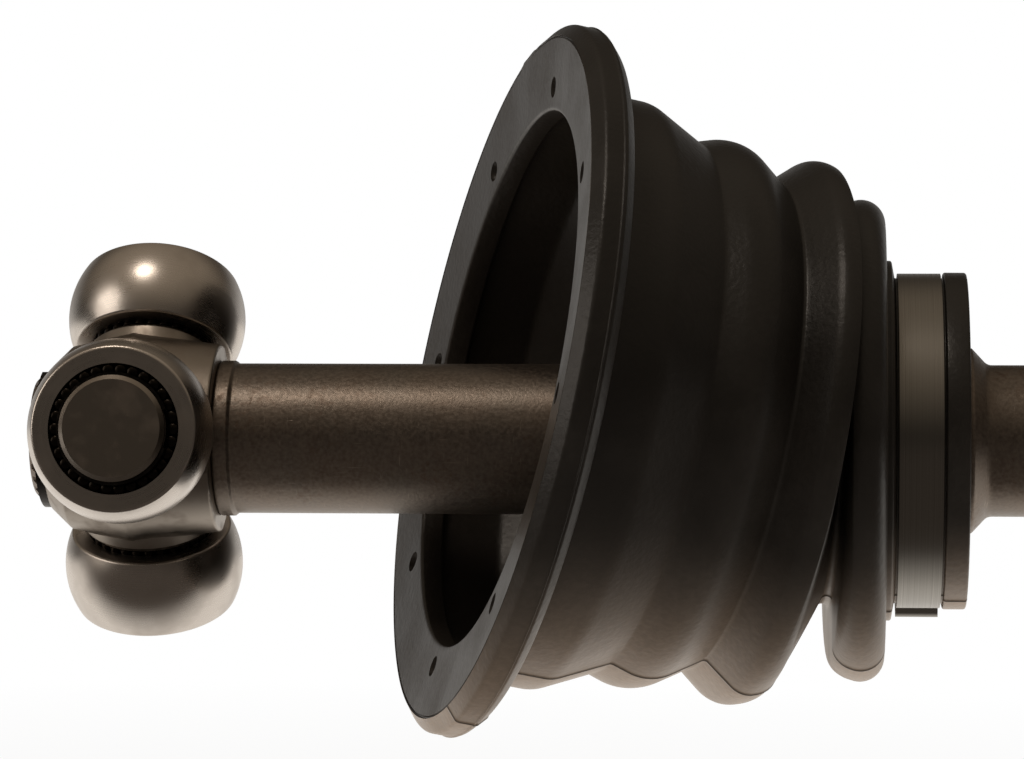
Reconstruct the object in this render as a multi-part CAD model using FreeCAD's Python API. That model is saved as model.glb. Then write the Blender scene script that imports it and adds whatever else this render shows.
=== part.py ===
import FreeCAD, Part
import math
import os

# Car drive shaft: tripod joint, bar, gearbox-side boot on a ball bearing, wheel-side ball joint.
# Millimetres. Origin at the tripod's centre on the bar's axis, +X along the bar to the wheel,
# +Z up. Tripod roller 1 points towards -Y.

V = FreeCAD.Vector
ORIGIN = V(0, 0, 0)
X_AXIS = V(1, 0, 0)

# Fits
running_gap = 0.05       # radial clearance of a running fit
soft_gap = 0.3           # space between a soft part and what moves past it
edge_break = 0.6         # small chamfer on turned shoulders
seat_gap = 0.05          # face to face parts that are only pushed together

# Bar
bar_r = 14.36
joint_distance = 480.0   # between the centres of the two joints
collar_r = 14.9          # short collar that the spider stops against
collar_len = 2.8
neck_r = 12.9            # thinner neck that clears the ball joint's mouth
neck_len = 42.0          # from the ball joint's centre
neck_taper = 5.0
bar_end_chamfer = 1.3

# Splines
spline_teeth = 26
spline_r = 12.4
spline_depth = 0.9
spline_gap = 0.05

# Tripod
roller_sphere_r = 17.25
roller_width = 16.0
roller_pitch_r = 27.28   # bar axis to roller centre
roller_edge = 0.6
first_trunnion_deg = 86.16   # turn about +X from +Z
trunnion_count = 3
trunnion_r = 9.85
trunnion_out = 10.5      # trunnion end beyond the roller's centre
trunnion_chamfer = 0.8
needle_r = 1.12
needle_count = 30
hub_left = 17.4          # hub ends either side of the trunnions
hub_right = 15.0
hub_belly_x = -1.8       # widest place of the hub
hub_belly_r = 20.3
hub_left_r = 13.9
hub_left_taper = 3.9
hub_shoulder_left_r = 17.6
hub_right_r = 17.9
hub_flat = 16.4          # bar axis to the flat under each trunnion
boss_r = 13.0
boss_top = 17.3
washer_thick = 1.0
clip_thick = 1.1
clip_depth = 0.7
clip_width = 1.25        # radial width of the needle clip
clip_gap_deg = 40.0
spline_groove = 0.7      # ring grooves below the spline's root
spider_clip_thick = 1.6
spider_clip_width = 2.6
shaft_end_out = 3.0      # bar end beyond the hub

# Support bearing
bearing_x = 148.7        # middle of the bearing
bearing_bore_r = 15.0
bearing_outer_r = 27.5
bearing_width = 13.0
bearing_inner_land_r = 18.9
bearing_outer_land_r = 23.4
bearing_pitch_r = 21.25
bearing_ball_r = 3.57
bearing_ball_count = 12
groove_gap = 0.07
bearing_cage_thick = 1.5
bearing_cage_width = 8.4
bearing_shoulder_r = 17.6
bearing_shoulder_len = 3.0
bearing_clip_thick = 1.3
bearing_clip_width = 2.6
bearing_clip_groove = 0.9
seal_thick = 1.1
seal_seat_wall = 2.5     # outer ring's wall round each seal

# Gearbox-side boot. Distances along its own axis are counted from the last fold
# towards the gearbox.
boot_x = 137.2           # plane of the last fold
boot_wall = 2.5
boot_lean_deg = 55.0     # direction of the bend, turned about +X from +Z
middle_tilt_deg = 17.8
mouth_tilt_deg = 20.0
end_fold_r = 45.7
end_fold_round = 4.6
bend_valley_s = 5.7
bend_valley_r = 31.1
middle_fold_s = 17.8
middle_fold_r = 52.2
middle_fold_round = 4.7
plunge_valley_s = 26.1
plunge_valley_r = 47.0
mouth_fold_s = 37.3
mouth_fold_r = 52.5
mouth_fold_round = 9.0
cone_valley_s = 43.5
cone_valley_r = 51.0
cone_s = 55.8
cone_r = 56.2
cone_round = 6.3
valley_round = 0.9
pleat_margin = 1.6       # rigid stretch each side of a fold's crest
pleat_gap = 0.3
rim_back_s = 65.4
rim_front_s = 73.2
rim_r = 67.4
rim_land = 4.0           # length of the rim's round land
rim_face_r = 64.7
rim_groove = 0.5         # thin groove round the face
rim_groove_half = 0.3
mouth_r = 51.0
mouth_set_back = 1.75    # the face is dished by this much
mouth_lip = 4.4
neck_groove_r = 56.2
pin_mark_count = 8
pin_mark_r = 2.0
pin_mark_circle_r = 55.3
pin_mark_turn_deg = 1.0
pin_mark_reach = 4.0     # past the face, so that each mark is open
insert_thick = 1.6
insert_cover = 1.5
insert_in_r = 53.2
insert_width = 9.4

# Boot end and its clamp
clamp_seat_r = 30.8
clamp_from = 5.1         # from the bearing's middle to the clamp's groove ends
clamp_to = 4.0
clamp_thick = 0.9
clamp_gap = 0.5
ear_height = 3.2
ear_length = 9.0
ear_wall = 1.2
ear_round = 1.2
boot_clamp_turn_deg = 200.0   # place of the clamp's ear, about +X from +Z
boot_ridge_r = 34.1
boot_ridge_from = 7.2
end_lip_r = 31.9
end_lip_to = 8.4
boot_shoulder_r = 25.4
boot_stop_gap = 0.1

# Ball joint
ball_r = 8.73
ball_pitch_r = 28.0
ball_count = 6
ball_groove_gap = 0.85   # lets the balls stay in their cage as the joint tilts
inner_race_r = 24.6
inner_race_half = 12.0
cage_wall = 5.0
cage_gap = 0.4
cage_half = 12.6
window_gap = 0.05
window_play = 2.2
housing_r = 44.0
housing_mouth = 20.0
housing_seat_r = 41.5
housing_seat_len = 15.0
housing_bead = 0.9
housing_bead_len = 2.0
housing_sphere_from = 10.0
housing_mouth_r = 34.8
housing_belly_to = 18.0
housing_cavity = 24.0
housing_groove_to = 22.0
housing_back = 36.0
housing_back_r = 30.0
stub_seat_r = 17.0
stub_seat_len = 6.0
stub_spline_r = 13.5
stub_spline_len = 44.0
stub_undercut = 3.0
stub_undercut_r = 11.2
stub_relief = 0.3
stub_bevel = 1.2
stub_thread_r = 11.9
stub_thread_len = 22.0
stub_chamfer = 1.5
race_clip_thick = 1.4
race_clip_width = 1.9

# Wheel-side boot
small_end_from = 100.0   # from the ball joint's centre
small_end_to = 88.0
small_end_wall = 2.6
small_groove = 0.8
small_groove_slope = 1.0
big_end_wall = 2.8
big_end_margin = 1.0
pleat_wall = 1.6
pleat_count = 5
pleat_height = 5.0
pleat_round = 2.4
pleat_first_r = 22.0
pleat_last_r = 42.5
outer_clamp_width = 7.0
outer_clamp_turn_deg = 120.0
pleat_end_run = 7.0      # from the last valley to the bell
pleat_end_round = 1.8


def turn_about_x(degrees):
    return FreeCAD.Rotation(X_AXIS, degrees)


def turned(shape, degrees):
    """Copy of a shape turned about the bar's axis."""
    copy = shape.copy()
    copy.Placement = FreeCAD.Placement(ORIGIN, turn_about_x(degrees)).multiply(copy.Placement)
    return copy


def ring_of(shape, count, first=0.0):
    """Copies of a shape spread evenly about the bar's axis."""
    return [turned(shape, first + 360.0 * i / count) for i in range(count)]


def group(shapes):
    return Part.makeCompound(shapes)


def cut_each(shape, tools):
    """Cut tools out one after another, which stays exact where the tools cross each other."""
    for tool in tools:
        shape = shape.cut(tool)
    return shape


def disc(radius, x_from, x_to):
    return Part.makeCylinder(radius, x_to - x_from, V(x_from, 0, 0), X_AXIS)


def tube(inner, outer, x_from, x_to):
    return disc(outer, x_from, x_to).cut(disc(inner, x_from, x_to))


def rounded_face(corners):
    """Face in the XZ plane through (x, radius, fillet) corners, each rounded by a tangent arc."""
    count = len(corners)
    joints = []
    for i in range(count):
        here = V(corners[i][0], 0, corners[i][1])
        before = V(corners[i - 1][0], 0, corners[i - 1][1])
        after = V(corners[(i + 1) % count][0], 0, corners[(i + 1) % count][1])
        fillet = corners[i][2] if len(corners[i]) > 2 else 0.0
        back = (before - here).normalize()
        on = (after - here).normalize()
        half = back.getAngle(on) / 2.0
        if fillet <= 0.0 or half > math.radians(89.5):
            joints.append((here, here, here))
            continue
        reach = fillet / math.tan(half)
        centre = here + (back + on).normalize() * (fillet / math.sin(half))
        middle = centre + (here - centre).normalize() * fillet
        joints.append((here + back * reach, middle, here + on * reach))
    edges = []
    for i in range(count):
        start, middle, end = joints[i]
        if start.distanceToPoint(end) > 1e-6:
            edges.append(Part.Arc(start, middle, end).toShape())
        following = joints[(i + 1) % count][0]
        if end.distanceToPoint(following) > 1e-6:
            edges.append(Part.makeLine(end, following))
    return Part.Face(Part.Wire(edges))


def revolved(face):
    return face.revolve(ORIGIN, X_AXIS, 360)


def rounded_turning(corners):
    """Solid of revolution about the bar's axis from rounded (x, radius, fillet) corners."""
    return revolved(rounded_face(corners))


def joined_faces(faces):
    """One face from faces that overlap in the XZ plane."""
    first = faces[0]
    return first.fuse(faces[1:]).removeSplitter()


def tooth_profile(x, outer_r, depth, teeth, gap):
    """Closed wire of straight-sided spline teeth; gap widens it for the matching bore."""
    step = 2.0 * math.pi / teeth
    spread = gap / outer_r
    points = []
    for i in range(teeth):
        centre = i * step
        for radius, angle in (
            (outer_r - depth + gap, centre - 0.30 * step - spread),
            (outer_r + gap, centre - 0.18 * step - spread),
            (outer_r + gap, centre + 0.18 * step + spread),
            (outer_r - depth + gap, centre + 0.30 * step + spread),
        ):
            points.append(V(x, radius * math.sin(angle), radius * math.cos(angle)))
    return Part.makePolygon(points + points[:1])


def spline(x_from, x_to, outer_r, teeth, gap=0.0):
    """Bar with straight-sided teeth along +X."""
    profile = tooth_profile(x_from, outer_r, spline_depth, teeth, gap)
    return Part.Face(profile).extrude(V(x_to - x_from, 0, 0))


def open_ring(inner, outer, x_from, thick, gap_deg):
    """Flat retaining ring with a gap at the top."""
    ring = tube(inner, outer, x_from, x_from + thick)
    half = math.radians(gap_deg / 2.0)
    reach = 2.0 * outer
    wedge = Part.makePolygon([
        V(x_from, 0, 0),
        V(x_from, -reach * math.sin(half), reach * math.cos(half)),
        V(x_from, reach * math.sin(half), reach * math.cos(half)),
        V(x_from, 0, 0),
    ])
    return ring.cut(Part.Face(wedge).extrude(V(thick, 0, 0)))


# Places along the bar
shaft_end = -hub_left - shaft_end_out
clip_groove = -hub_left - spider_clip_thick
collar_end = hub_right + collar_len
bearing_from = bearing_x - bearing_width / 2.0
bearing_to = bearing_x + bearing_width / 2.0
seal_seat_r = bearing_outer_r - seal_seat_wall
spline_root_r = spline_r - spline_depth
clip_seat_r = spline_root_r - spline_groove
joint_end = joint_distance + inner_race_half
bearing_clip_x = bearing_from - bearing_clip_thick


def make_bar():
    """Bar with both splines, the bearing's seat and the grooves for its rings."""
    seat_from = bearing_clip_x - bearing_clip_thick
    neck_x = joint_distance - neck_len
    small_from = joint_distance - small_end_from
    small_to = joint_distance - small_end_to
    bar = rounded_turning([
        (hub_right, 0), (hub_right, collar_r, 0.5),
        (collar_end, collar_r, 0.4), (collar_end + edge_break, bar_r, 0.4),
        (seat_from - edge_break, bar_r), (seat_from, bearing_bore_r),
        (bearing_to, bearing_bore_r), (bearing_to, bearing_shoulder_r, 0.6),
        (bearing_to + bearing_shoulder_len, bearing_shoulder_r, 0.6),
        (bearing_to + 2.0 * bearing_shoulder_len, bar_r, 2.0),
        (small_from, bar_r), (small_from + small_groove_slope, bar_r - small_groove),
        (small_to - small_groove_slope, bar_r - small_groove), (small_to, bar_r),
        (neck_x - neck_taper, bar_r, 3.0), (neck_x, neck_r, 3.0),
        (joint_distance - inner_race_half, neck_r, 0.5), (joint_distance - inner_race_half, 0),
    ])
    inboard = spline(shaft_end, hub_right, spline_r, spline_teeth)
    outboard = spline(joint_distance - inner_race_half, joint_end + shaft_end_out, spline_r, spline_teeth)
    bar = bar.fuse([inboard, outboard])
    bar = bar.cut(tube(clip_seat_r, 2 * spline_r, clip_groove, -hub_left))
    bar = bar.cut(tube(clip_seat_r, 2 * spline_r, joint_end, joint_end + race_clip_thick))
    bar = bar.cut(tube(bearing_bore_r - bearing_clip_groove, 2 * bar_r, bearing_clip_x, bearing_from))
    bevel_r = spline_r + seat_gap
    far_end = joint_end + shaft_end_out
    middle_from = hub_right - spline_depth
    outline = rounded_turning([
        (shaft_end, 0), (shaft_end, bevel_r - bar_end_chamfer), (shaft_end + bar_end_chamfer, bevel_r),
        (middle_from, bevel_r), (middle_from, 2 * bar_r),
        (joint_distance, 2 * bar_r), (joint_distance, bevel_r),
        (far_end - bar_end_chamfer, bevel_r), (far_end, bevel_r - bar_end_chamfer), (far_end, 0),
    ])
    return bar.common(outline)


def make_spider():
    """Tripod hub: a turned belly with a flat and a boss under each trunnion."""
    corner_x = hub_left - hub_left_taper
    belly = rounded_turning([
        (-hub_left, 0), (-hub_left, hub_left_r, 0.8), (-corner_x, hub_shoulder_left_r, 1.0),
        (hub_belly_x, hub_belly_r, 2.0), (hub_right, hub_right_r, 0.6), (hub_right, 0),
    ])
    reach = 2.0 * hub_flat
    corners = [
        V(-hub_left, -reach * math.sin(a), reach * math.cos(a))
        for a in [math.radians(first_trunnion_deg + 60.0 + 120.0 * i) for i in range(3)]
    ]
    prism = Part.Face(Part.makePolygon(corners + corners[:1])).extrude(V(hub_left + hub_right, 0, 0))
    hub = belly.common(prism)
    trunnion_end = roller_pitch_r + trunnion_out
    trunnion = Part.makeCylinder(trunnion_r, trunnion_end)
    tip = [e for e in trunnion.Edges if len(e.Vertexes) == 1 and abs(e.CenterOfMass.z - trunnion_end) < 1e-3]
    trunnion = trunnion.makeChamfer(trunnion_chamfer, tip)
    groove_z = roller_pitch_r + roller_width / 2.0
    groove = Part.makeCylinder(2 * trunnion_r, clip_thick, V(0, 0, groove_z))
    groove = groove.cut(Part.makeCylinder(trunnion_r - clip_depth, clip_thick, V(0, 0, groove_z)))
    trunnion = trunnion.cut(groove)
    boss = Part.makeCylinder(boss_r, boss_top)
    for arm in ring_of(trunnion.fuse(boss), trunnion_count, first_trunnion_deg):
        hub = hub.fuse(arm)
    bore = spline(-hub_left, hub_right, spline_r, spline_teeth, spline_gap)
    return hub.cut(bore).removeSplitter()


def make_spider_clip():
    """Ring that keeps the spider on the bar."""
    inner = clip_seat_r + seat_gap
    return open_ring(inner, inner + spider_clip_width, clip_groove, spider_clip_thick, clip_gap_deg)


def on_trunnion(shape, index):
    """Move a shape built along +Z out onto one trunnion."""
    return turned(shape, first_trunnion_deg + 360.0 * index / trunnion_count)


def make_trunnion_washer():
    """Washer between the boss and the needles."""
    outer = trunnion_r + 2.0 * needle_r
    ring = Part.makeCylinder(outer, washer_thick, V(0, 0, boss_top))
    return ring.cut(Part.makeCylinder(trunnion_r + seat_gap, washer_thick, V(0, 0, boss_top)))


def make_needles():
    """Full set of needles round a trunnion."""
    start = boss_top + washer_thick + seat_gap
    length = roller_pitch_r + roller_width / 2.0 - seat_gap - start
    pitch = trunnion_r + needle_r + running_gap / 2.0
    needles = []
    for i in range(needle_count):
        angle = 2.0 * math.pi * i / needle_count
        foot = V(pitch * math.cos(angle), pitch * math.sin(angle), start)
        needles.append(Part.makeCylinder(needle_r, length, foot))
    return group(needles)


def make_needle_clip():
    """Snap ring in the trunnion's groove that keeps the needles in."""
    inner = trunnion_r - clip_depth + seat_gap
    foot = V(0, 0, roller_pitch_r + roller_width / 2.0)
    ring = Part.makeCylinder(inner + clip_width, clip_thick, foot)
    ring = ring.cut(Part.makeCylinder(inner, clip_thick, foot))
    half = math.radians(clip_gap_deg / 2.0)
    reach = 2.0 * trunnion_r
    wedge = Part.makePolygon([
        foot, foot + V(reach * math.cos(half), reach * math.sin(half), 0),
        foot + V(reach * math.cos(half), -reach * math.sin(half), 0), foot,
    ])
    return ring.cut(Part.Face(wedge).extrude(V(0, 0, clip_thick)))


def make_roller():
    """Ball-shaped ring with flat faces and a plain bore for the needles."""
    bore = trunnion_r + 2.0 * needle_r + running_gap
    centre = V(0, 0, roller_pitch_r)
    low = V(0, 0, roller_pitch_r - roller_width / 2.0)
    roller = Part.makeSphere(roller_sphere_r, centre)
    roller = roller.common(Part.makeCylinder(2 * roller_sphere_r, roller_width, low))
    rims = []
    for edge in roller.Edges:
        height = edge.CenterOfMass.distanceToPoint(centre)
        if len(edge.Vertexes) == 1 and abs(height - roller_width / 2.0) < 1e-3:
            rims.append(edge)
    roller = roller.makeFillet(roller_edge, rims)
    return roller.cut(Part.makeCylinder(bore, roller_width, low))


def make_inner_ring():
    """Bearing's inner ring with its ball groove."""
    ring = rounded_turning([
        (bearing_from, bearing_bore_r, 0.5), (bearing_from, bearing_inner_land_r, 0.4),
        (bearing_to, bearing_inner_land_r, 0.4), (bearing_to, bearing_bore_r, 0.5),
    ])
    return ring.cut(make_ball_track())


def make_ball_track():
    """Ring that the bearing's balls roll in, wider than a ball by the groove's gap."""
    return Part.makeTorus(bearing_pitch_r, bearing_ball_r + groove_gap, V(bearing_x, 0, 0), X_AXIS)


def make_outer_ring():
    """Bearing's outer ring with its ball groove and a seat for each seal."""
    ring = rounded_turning([
        (bearing_from, seal_seat_r), (bearing_from, bearing_outer_r, 0.6),
        (bearing_to, bearing_outer_r, 0.6), (bearing_to, seal_seat_r),
        (bearing_to - seal_thick, seal_seat_r), (bearing_to - seal_thick, bearing_outer_land_r),
        (bearing_from + seal_thick, bearing_outer_land_r), (bearing_from + seal_thick, seal_seat_r),
    ])
    return ring.cut(make_ball_track())


def make_bearing_balls():
    ball = Part.makeSphere(bearing_ball_r, V(bearing_x, 0, bearing_pitch_r))
    return group(ring_of(ball, bearing_ball_count))


def make_bearing_cage():
    """Ring between the bearing's lands with a pocket for each ball."""
    half = bearing_cage_width / 2.0
    ring = tube(
        bearing_pitch_r - bearing_cage_thick / 2.0, bearing_pitch_r + bearing_cage_thick / 2.0,
        bearing_x - half, bearing_x + half,
    )
    pocket = Part.makeSphere(bearing_ball_r + seat_gap, V(bearing_x, 0, bearing_pitch_r))
    return cut_each(ring, ring_of(pocket, bearing_ball_count))


def make_bearing_clip():
    """Ring in the bar's groove that holds the bearing against its shoulder."""
    inner = bearing_bore_r - bearing_clip_groove + seat_gap
    return open_ring(inner, inner + bearing_clip_width, bearing_clip_x, bearing_clip_thick, clip_gap_deg)


def make_seal(side):
    """Rubber-faced shield, fixed in the outer ring and clear of the inner one."""
    outside = bearing_x + side * bearing_width / 2.0
    inside = outside - side * seal_thick
    low, high = min(outside, inside), max(outside, inside)
    return rounded_turning([
        (low, bearing_inner_land_r + soft_gap), (low, seal_seat_r, 0.2), (high, seal_seat_r, 0.2),
        (high, bearing_inner_land_r + soft_gap),
    ])


# Gearbox-side boot: profile and bent axis
LEAN = math.radians(boot_lean_deg)
bend_side = V(0, -math.sin(LEAN), math.cos(LEAN))
bend_axis = V(0, math.cos(LEAN), math.sin(LEAN))
BEND_KNOTS = [
    (pleat_margin, 0.0),
    (middle_fold_s - pleat_margin, middle_tilt_deg),
    (middle_fold_s + pleat_margin, middle_tilt_deg),
    (mouth_fold_s - pleat_margin, mouth_tilt_deg),
]


def boot_frame(distance):
    """Placement of the boot's section at a distance from its last fold, on its bent axis."""
    origin = V(boot_x, 0, 0)
    at, tilt = 0.0, 0.0
    for knot, knot_tilt in BEND_KNOTS + [(1e6, mouth_tilt_deg)]:
        if distance <= at:
            break
        stop = min(distance, knot)
        share = (stop - at) / (knot - at)
        new_tilt = tilt + (knot_tilt - tilt) * share
        half = math.radians(new_tilt - tilt) / 2.0
        chord = (stop - at) * (math.sin(half) / half if half else 1.0)
        mean = math.radians(new_tilt + tilt) / 2.0
        origin += (X_AXIS * -math.cos(mean) + bend_side * math.sin(mean)) * chord
        at, tilt = stop, new_tilt
    if distance < 0.0:
        origin += X_AXIS * -distance
    return FreeCAD.Placement(origin, FreeCAD.Rotation(bend_axis, tilt))


def boot_chain():
    """Circles (distance, radius of the crest or valley, rounding, side) along the boot's outside."""
    ridge_s = boot_x - (bearing_x - boot_ridge_from)
    return [
        (ridge_s - 3.0, boot_ridge_r, 0.0, 1),
        (ridge_s - 0.6, boot_ridge_r, valley_round, -1),
        (0.0, end_fold_r, end_fold_round, 1),
        (bend_valley_s, bend_valley_r, valley_round, -1),
        (middle_fold_s, middle_fold_r, middle_fold_round, 1),
        (plunge_valley_s, plunge_valley_r, valley_round, -1),
        (mouth_fold_s, mouth_fold_r, mouth_fold_round, 1),
        (cone_valley_s, cone_valley_r, valley_round, -1),
        (cone_s, cone_r, cone_round, 1),
        (rim_back_s + 1.5, neck_groove_r, 0.0, 1),
    ]


def belt(chain, inset):
    """Arcs and lines over crests and under valleys; inset moves the line in by the wall."""
    links = []
    for i, (distance, radius, rounding, side) in enumerate(chain):
        ended = i in (0, len(chain) - 1)
        size = 0.0 if ended else rounding - side * inset
        height = radius - inset if ended else radius - side * rounding
        links.append((distance, height, size, side))
    angles = []
    for (x0, r0, size0, side0), (x1, r1, size1, side1) in zip(links[:-1], links[1:]):
        span = math.hypot(x1 - x0, r1 - r0)
        angles.append(math.atan2(r1 - r0, x1 - x0) - math.asin((side0 * size0 - side1 * size1) / span))
    arcs = []
    for i, (x, r, size, side) in enumerate(links):
        first = angles[max(i - 1, 0)]
        last = angles[min(i, len(angles) - 1)]
        points = []
        for angle in (first, (first + last) / 2.0, last):
            points.append((x - side * size * math.sin(angle), r + side * size * math.cos(angle)))
        arcs.append(points)
    return arcs


def belt_edges(arcs):
    """Edges of a belt, drawn with distances running towards -X."""
    edges = []
    last = None
    for points in arcs:
        ends = [V(-x, 0, r) for x, r in points]
        if last is not None:
            edges.append(Part.makeLine(last, ends[0]))
        if ends[0].distanceToPoint(ends[2]) > 1e-4:
            edges.append(Part.Arc(*ends).toShape())
        last = ends[2]
    return edges


def wall_face(chain, wall):
    """Section of a moulded wall between its outside and its inside."""
    outside = belt(chain, 0.0)
    inside = belt(chain, wall)
    edges = belt_edges(outside) + belt_edges(inside)
    for end in (0, -1):
        out_x, out_r = outside[end][1]
        in_x, in_r = inside[end][1]
        edges.append(Part.makeLine(V(-out_x, 0, out_r), V(-in_x, 0, in_r)))
    return Part.Face(Part.Wire(Part.__sortEdges__(edges)))


def stretch(face, s_from, s_to):
    """Part of a boot section between two distances."""
    reach = 3.0 * rim_r
    window = Part.makePlane(s_to - s_from, reach, V(-s_from, 0, 0), V(0, 1, 0), V(-1, 0, 0))
    return face.common(window)


boot_section = wall_face(boot_chain(), boot_wall)


def make_boot_collar():
    """Boot's bearing end: the last fold, the bearing's pocket, the clamp's groove and the end lip."""
    groove_edge = bearing_x - clamp_from - edge_break
    fold = stretch(boot_section, boot_x - groove_edge, pleat_margin - pleat_gap)
    fold.translate(V(boot_x, 0, 0))
    left = bearing_x - boot_ridge_from
    pocket_from = bearing_from - boot_stop_gap
    pocket_to = bearing_to + boot_stop_gap
    block = rounded_face([
        (left - boot_wall, boot_shoulder_r, 0.6), (left - boot_wall, boot_ridge_r - edge_break),
        (left, boot_ridge_r),
        (groove_edge, boot_ridge_r, 0.5), (bearing_x - clamp_from, clamp_seat_r),
        (bearing_x + clamp_to, clamp_seat_r), (bearing_x + clamp_to, end_lip_r, 0.4),
        (bearing_x + end_lip_to, end_lip_r, 0.5), (bearing_x + end_lip_to, boot_shoulder_r, 0.5),
        (pocket_to, boot_shoulder_r, 0.4), (pocket_to, bearing_outer_r + seat_gap),
        (pocket_from, bearing_outer_r + seat_gap), (pocket_from, boot_shoulder_r, 0.4),
    ])
    return revolved(joined_faces([fold, block]))


def make_boot_piece(face, at):
    """Turn a boot section and lay it on the bent axis."""
    shape = revolved(face)
    shape.translate(V(at, 0, 0))
    shape.Placement = boot_frame(at).multiply(shape.Placement)
    return shape


def make_middle_fold():
    """Rigid crest between the two folds that bend and plunge."""
    half = pleat_margin - pleat_gap
    face = stretch(boot_section, middle_fold_s - half, middle_fold_s + half)
    return make_boot_piece(face, middle_fold_s)


def section_circle(distance, radius):
    """Circle of the boot on its bent axis, with its seam always on the same side."""
    circle = Part.Wire(Part.Circle(ORIGIN, X_AXIS, radius).toShape())
    circle.Placement = boot_frame(distance).multiply(circle.Placement)
    return circle


def make_pleat(valley, s_from, s_to):
    """Bent wall between two folds, drawn through circles on the bent axis."""
    chain = boot_chain()
    faces = []
    first_rims = []
    last_rims = []
    for inset in (0.0, boot_wall):
        arcs = belt(chain, inset)
        marks = [arcs[valley - 1][2], arcs[valley][0], arcs[valley][1], arcs[valley][2], arcs[valley + 1][0]]
        places = [s_from] + [x for x, r in marks if s_from + 0.4 < x < s_to - 0.4] + [s_to]
        circles = [section_circle(x, belt_height(arcs, chain, inset, x)) for x in places]
        faces += Part.makeLoft(circles, False, True).Faces
        first_rims.append(circles[0])
        last_rims.append(circles[-1])
    for rims in (first_rims, last_rims):
        faces.append(Part.Face(rims, "Part::FaceMakerBullseye"))
    shell = Part.makeShell(faces)
    shell.sewShape()
    solid = Part.makeSolid(shell)
    if solid.Volume < 0:
        solid.reverse()
    return solid


def belt_height(arcs, chain, inset, distance):
    """Radius of the boot's wall at a distance: on an arc, or on the line between two arcs."""
    for arc, (x, radius, rounding, side) in zip(arcs, chain):
        if arc[0][0] <= distance <= arc[2][0]:
            size = rounding - side * inset
            return radius - side * rounding + side * math.sqrt(size ** 2 - (distance - x) ** 2)
    for arc, following in zip(arcs[:-1], arcs[1:]):
        (x0, r0), (x1, r1) = arc[2], following[0]
        if x0 <= distance <= x1:
            return r0 + (r1 - r0) * (distance - x0) / (x1 - x0)
    raise ValueError("no wall at this distance")


def make_boot_mouth():
    """Stiff gearbox end: fold, cone and the wide rim with its dished face and pin marks."""
    at = mouth_fold_s
    wall = stretch(boot_section, mouth_fold_s - pleat_margin + pleat_gap, rim_back_s + 1.0)
    shoulder = (rim_front_s - rim_back_s - rim_land) / 2.0
    mouth_front = rim_front_s - mouth_set_back
    rim = rounded_face([
        (-mouth_front, mouth_r, 0.6), (-rim_front_s, rim_face_r - rim_groove_half),
        (-rim_front_s + rim_groove, rim_face_r),
        (-rim_front_s, rim_face_r + rim_groove_half, 0.5), (-rim_front_s + shoulder, rim_r, 1.2),
        (-rim_back_s - shoulder, rim_r, 0.8), (-rim_back_s, rim_r - 2.0, 0.8),
        (-rim_back_s, neck_groove_r + 2.0, 0.5), (-rim_back_s + 1.0, neck_groove_r - 0.4),
        (-rim_back_s + 1.0, neck_groove_r - boot_wall),
        (-mouth_front + mouth_lip, neck_groove_r - boot_wall, 0.8),
        (-mouth_front + mouth_lip, mouth_r, 0.6),
    ])
    face = joined_faces([wall, rim])
    slot = insert_section(seat_gap)
    marks = ring_of(pin_mark(), pin_mark_count, pin_mark_turn_deg)
    body = cut_each(revolved(face.cut(slot)), marks)
    body.Placement = mouth_placement(at).multiply(body.Placement)
    return body


def mouth_placement(at):
    """Placement of a shape that is drawn with distances running towards -X from the last fold."""
    return boot_frame(at).multiply(FreeCAD.Placement(V(at, 0, 0), FreeCAD.Rotation()))


def face_depth(radius):
    """Distance of the dished face at a radius."""
    share = (rim_face_r - radius) / (rim_face_r - mouth_r)
    return rim_front_s - mouth_set_back * share


def insert_section(gap):
    """Section of the steel ring inside the rim, grown by a gap."""
    rows = []
    for radius in (insert_in_r - gap, insert_in_r + insert_width + gap):
        rows.append((face_depth(radius) - insert_cover + gap, radius))
    for radius in (insert_in_r + insert_width + gap, insert_in_r - gap):
        rows.append((face_depth(radius) - insert_cover - insert_thick - gap, radius))
    return rounded_face([(-s, r) for s, r in rows])


def pin_mark():
    """Blind hole left by the pin that held the steel ring in the mould."""
    radius = pin_mark_circle_r
    depth = face_depth(radius) - insert_cover
    return Part.makeCylinder(pin_mark_r, pin_mark_reach, V(-depth, 0, radius), V(-1, 0, 0))


def make_insert_ring():
    ring = revolved(insert_section(0.0))
    ring.Placement = mouth_placement(mouth_fold_s).multiply(ring.Placement)
    return ring


def make_band_clamp(inner, x_from, x_to, ear_deg):
    """Steel band with a crimped ear."""
    outer = inner + clamp_thick
    band = tube(inner, outer, x_from, x_to)
    width = x_to - x_from
    low = math.sqrt(inner ** 2 - (ear_length / 2.0) ** 2)
    ear = Part.makeBox(width, ear_length, outer + ear_height - low, V(x_from, -ear_length / 2.0, low))
    top = outer + ear_height
    corners = [e for e in ear.Edges if e.BoundBox.ZMin > top - 0.1 and e.BoundBox.YLength < 0.1]
    ear = ear.makeFillet(ear_round, corners)
    hollow = Part.makeBox(width, ear_length - 2 * ear_wall, ear_height - ear_wall,
                          V(x_from, -ear_length / 2.0 + ear_wall, outer))
    ear = ear.cut(hollow).cut(disc(inner, x_from, x_to))
    return turned(band.fuse(ear).removeSplitter(), ear_deg)


# Ball joint at the wheel end
def at_joint(shape):
    shape.translate(V(joint_distance, 0, 0))
    return shape


def groove_rings(limit):
    """Meridian rings that the ball grooves follow, cut off at the limit."""
    rings = []
    for i in range(ball_count // 2):
        ring = Part.makeTorus(ball_pitch_r, ball_r + ball_groove_gap, ORIGIN, V(0, 1, 0))
        rings.append(turned(ring, 360.0 * i / ball_count))
    reach = 2.0 * housing_r
    keep = Part.makeCylinder(reach, reach + limit, V(-reach, 0, 0), X_AXIS)
    return [ring.common(keep) for ring in rings]


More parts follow.
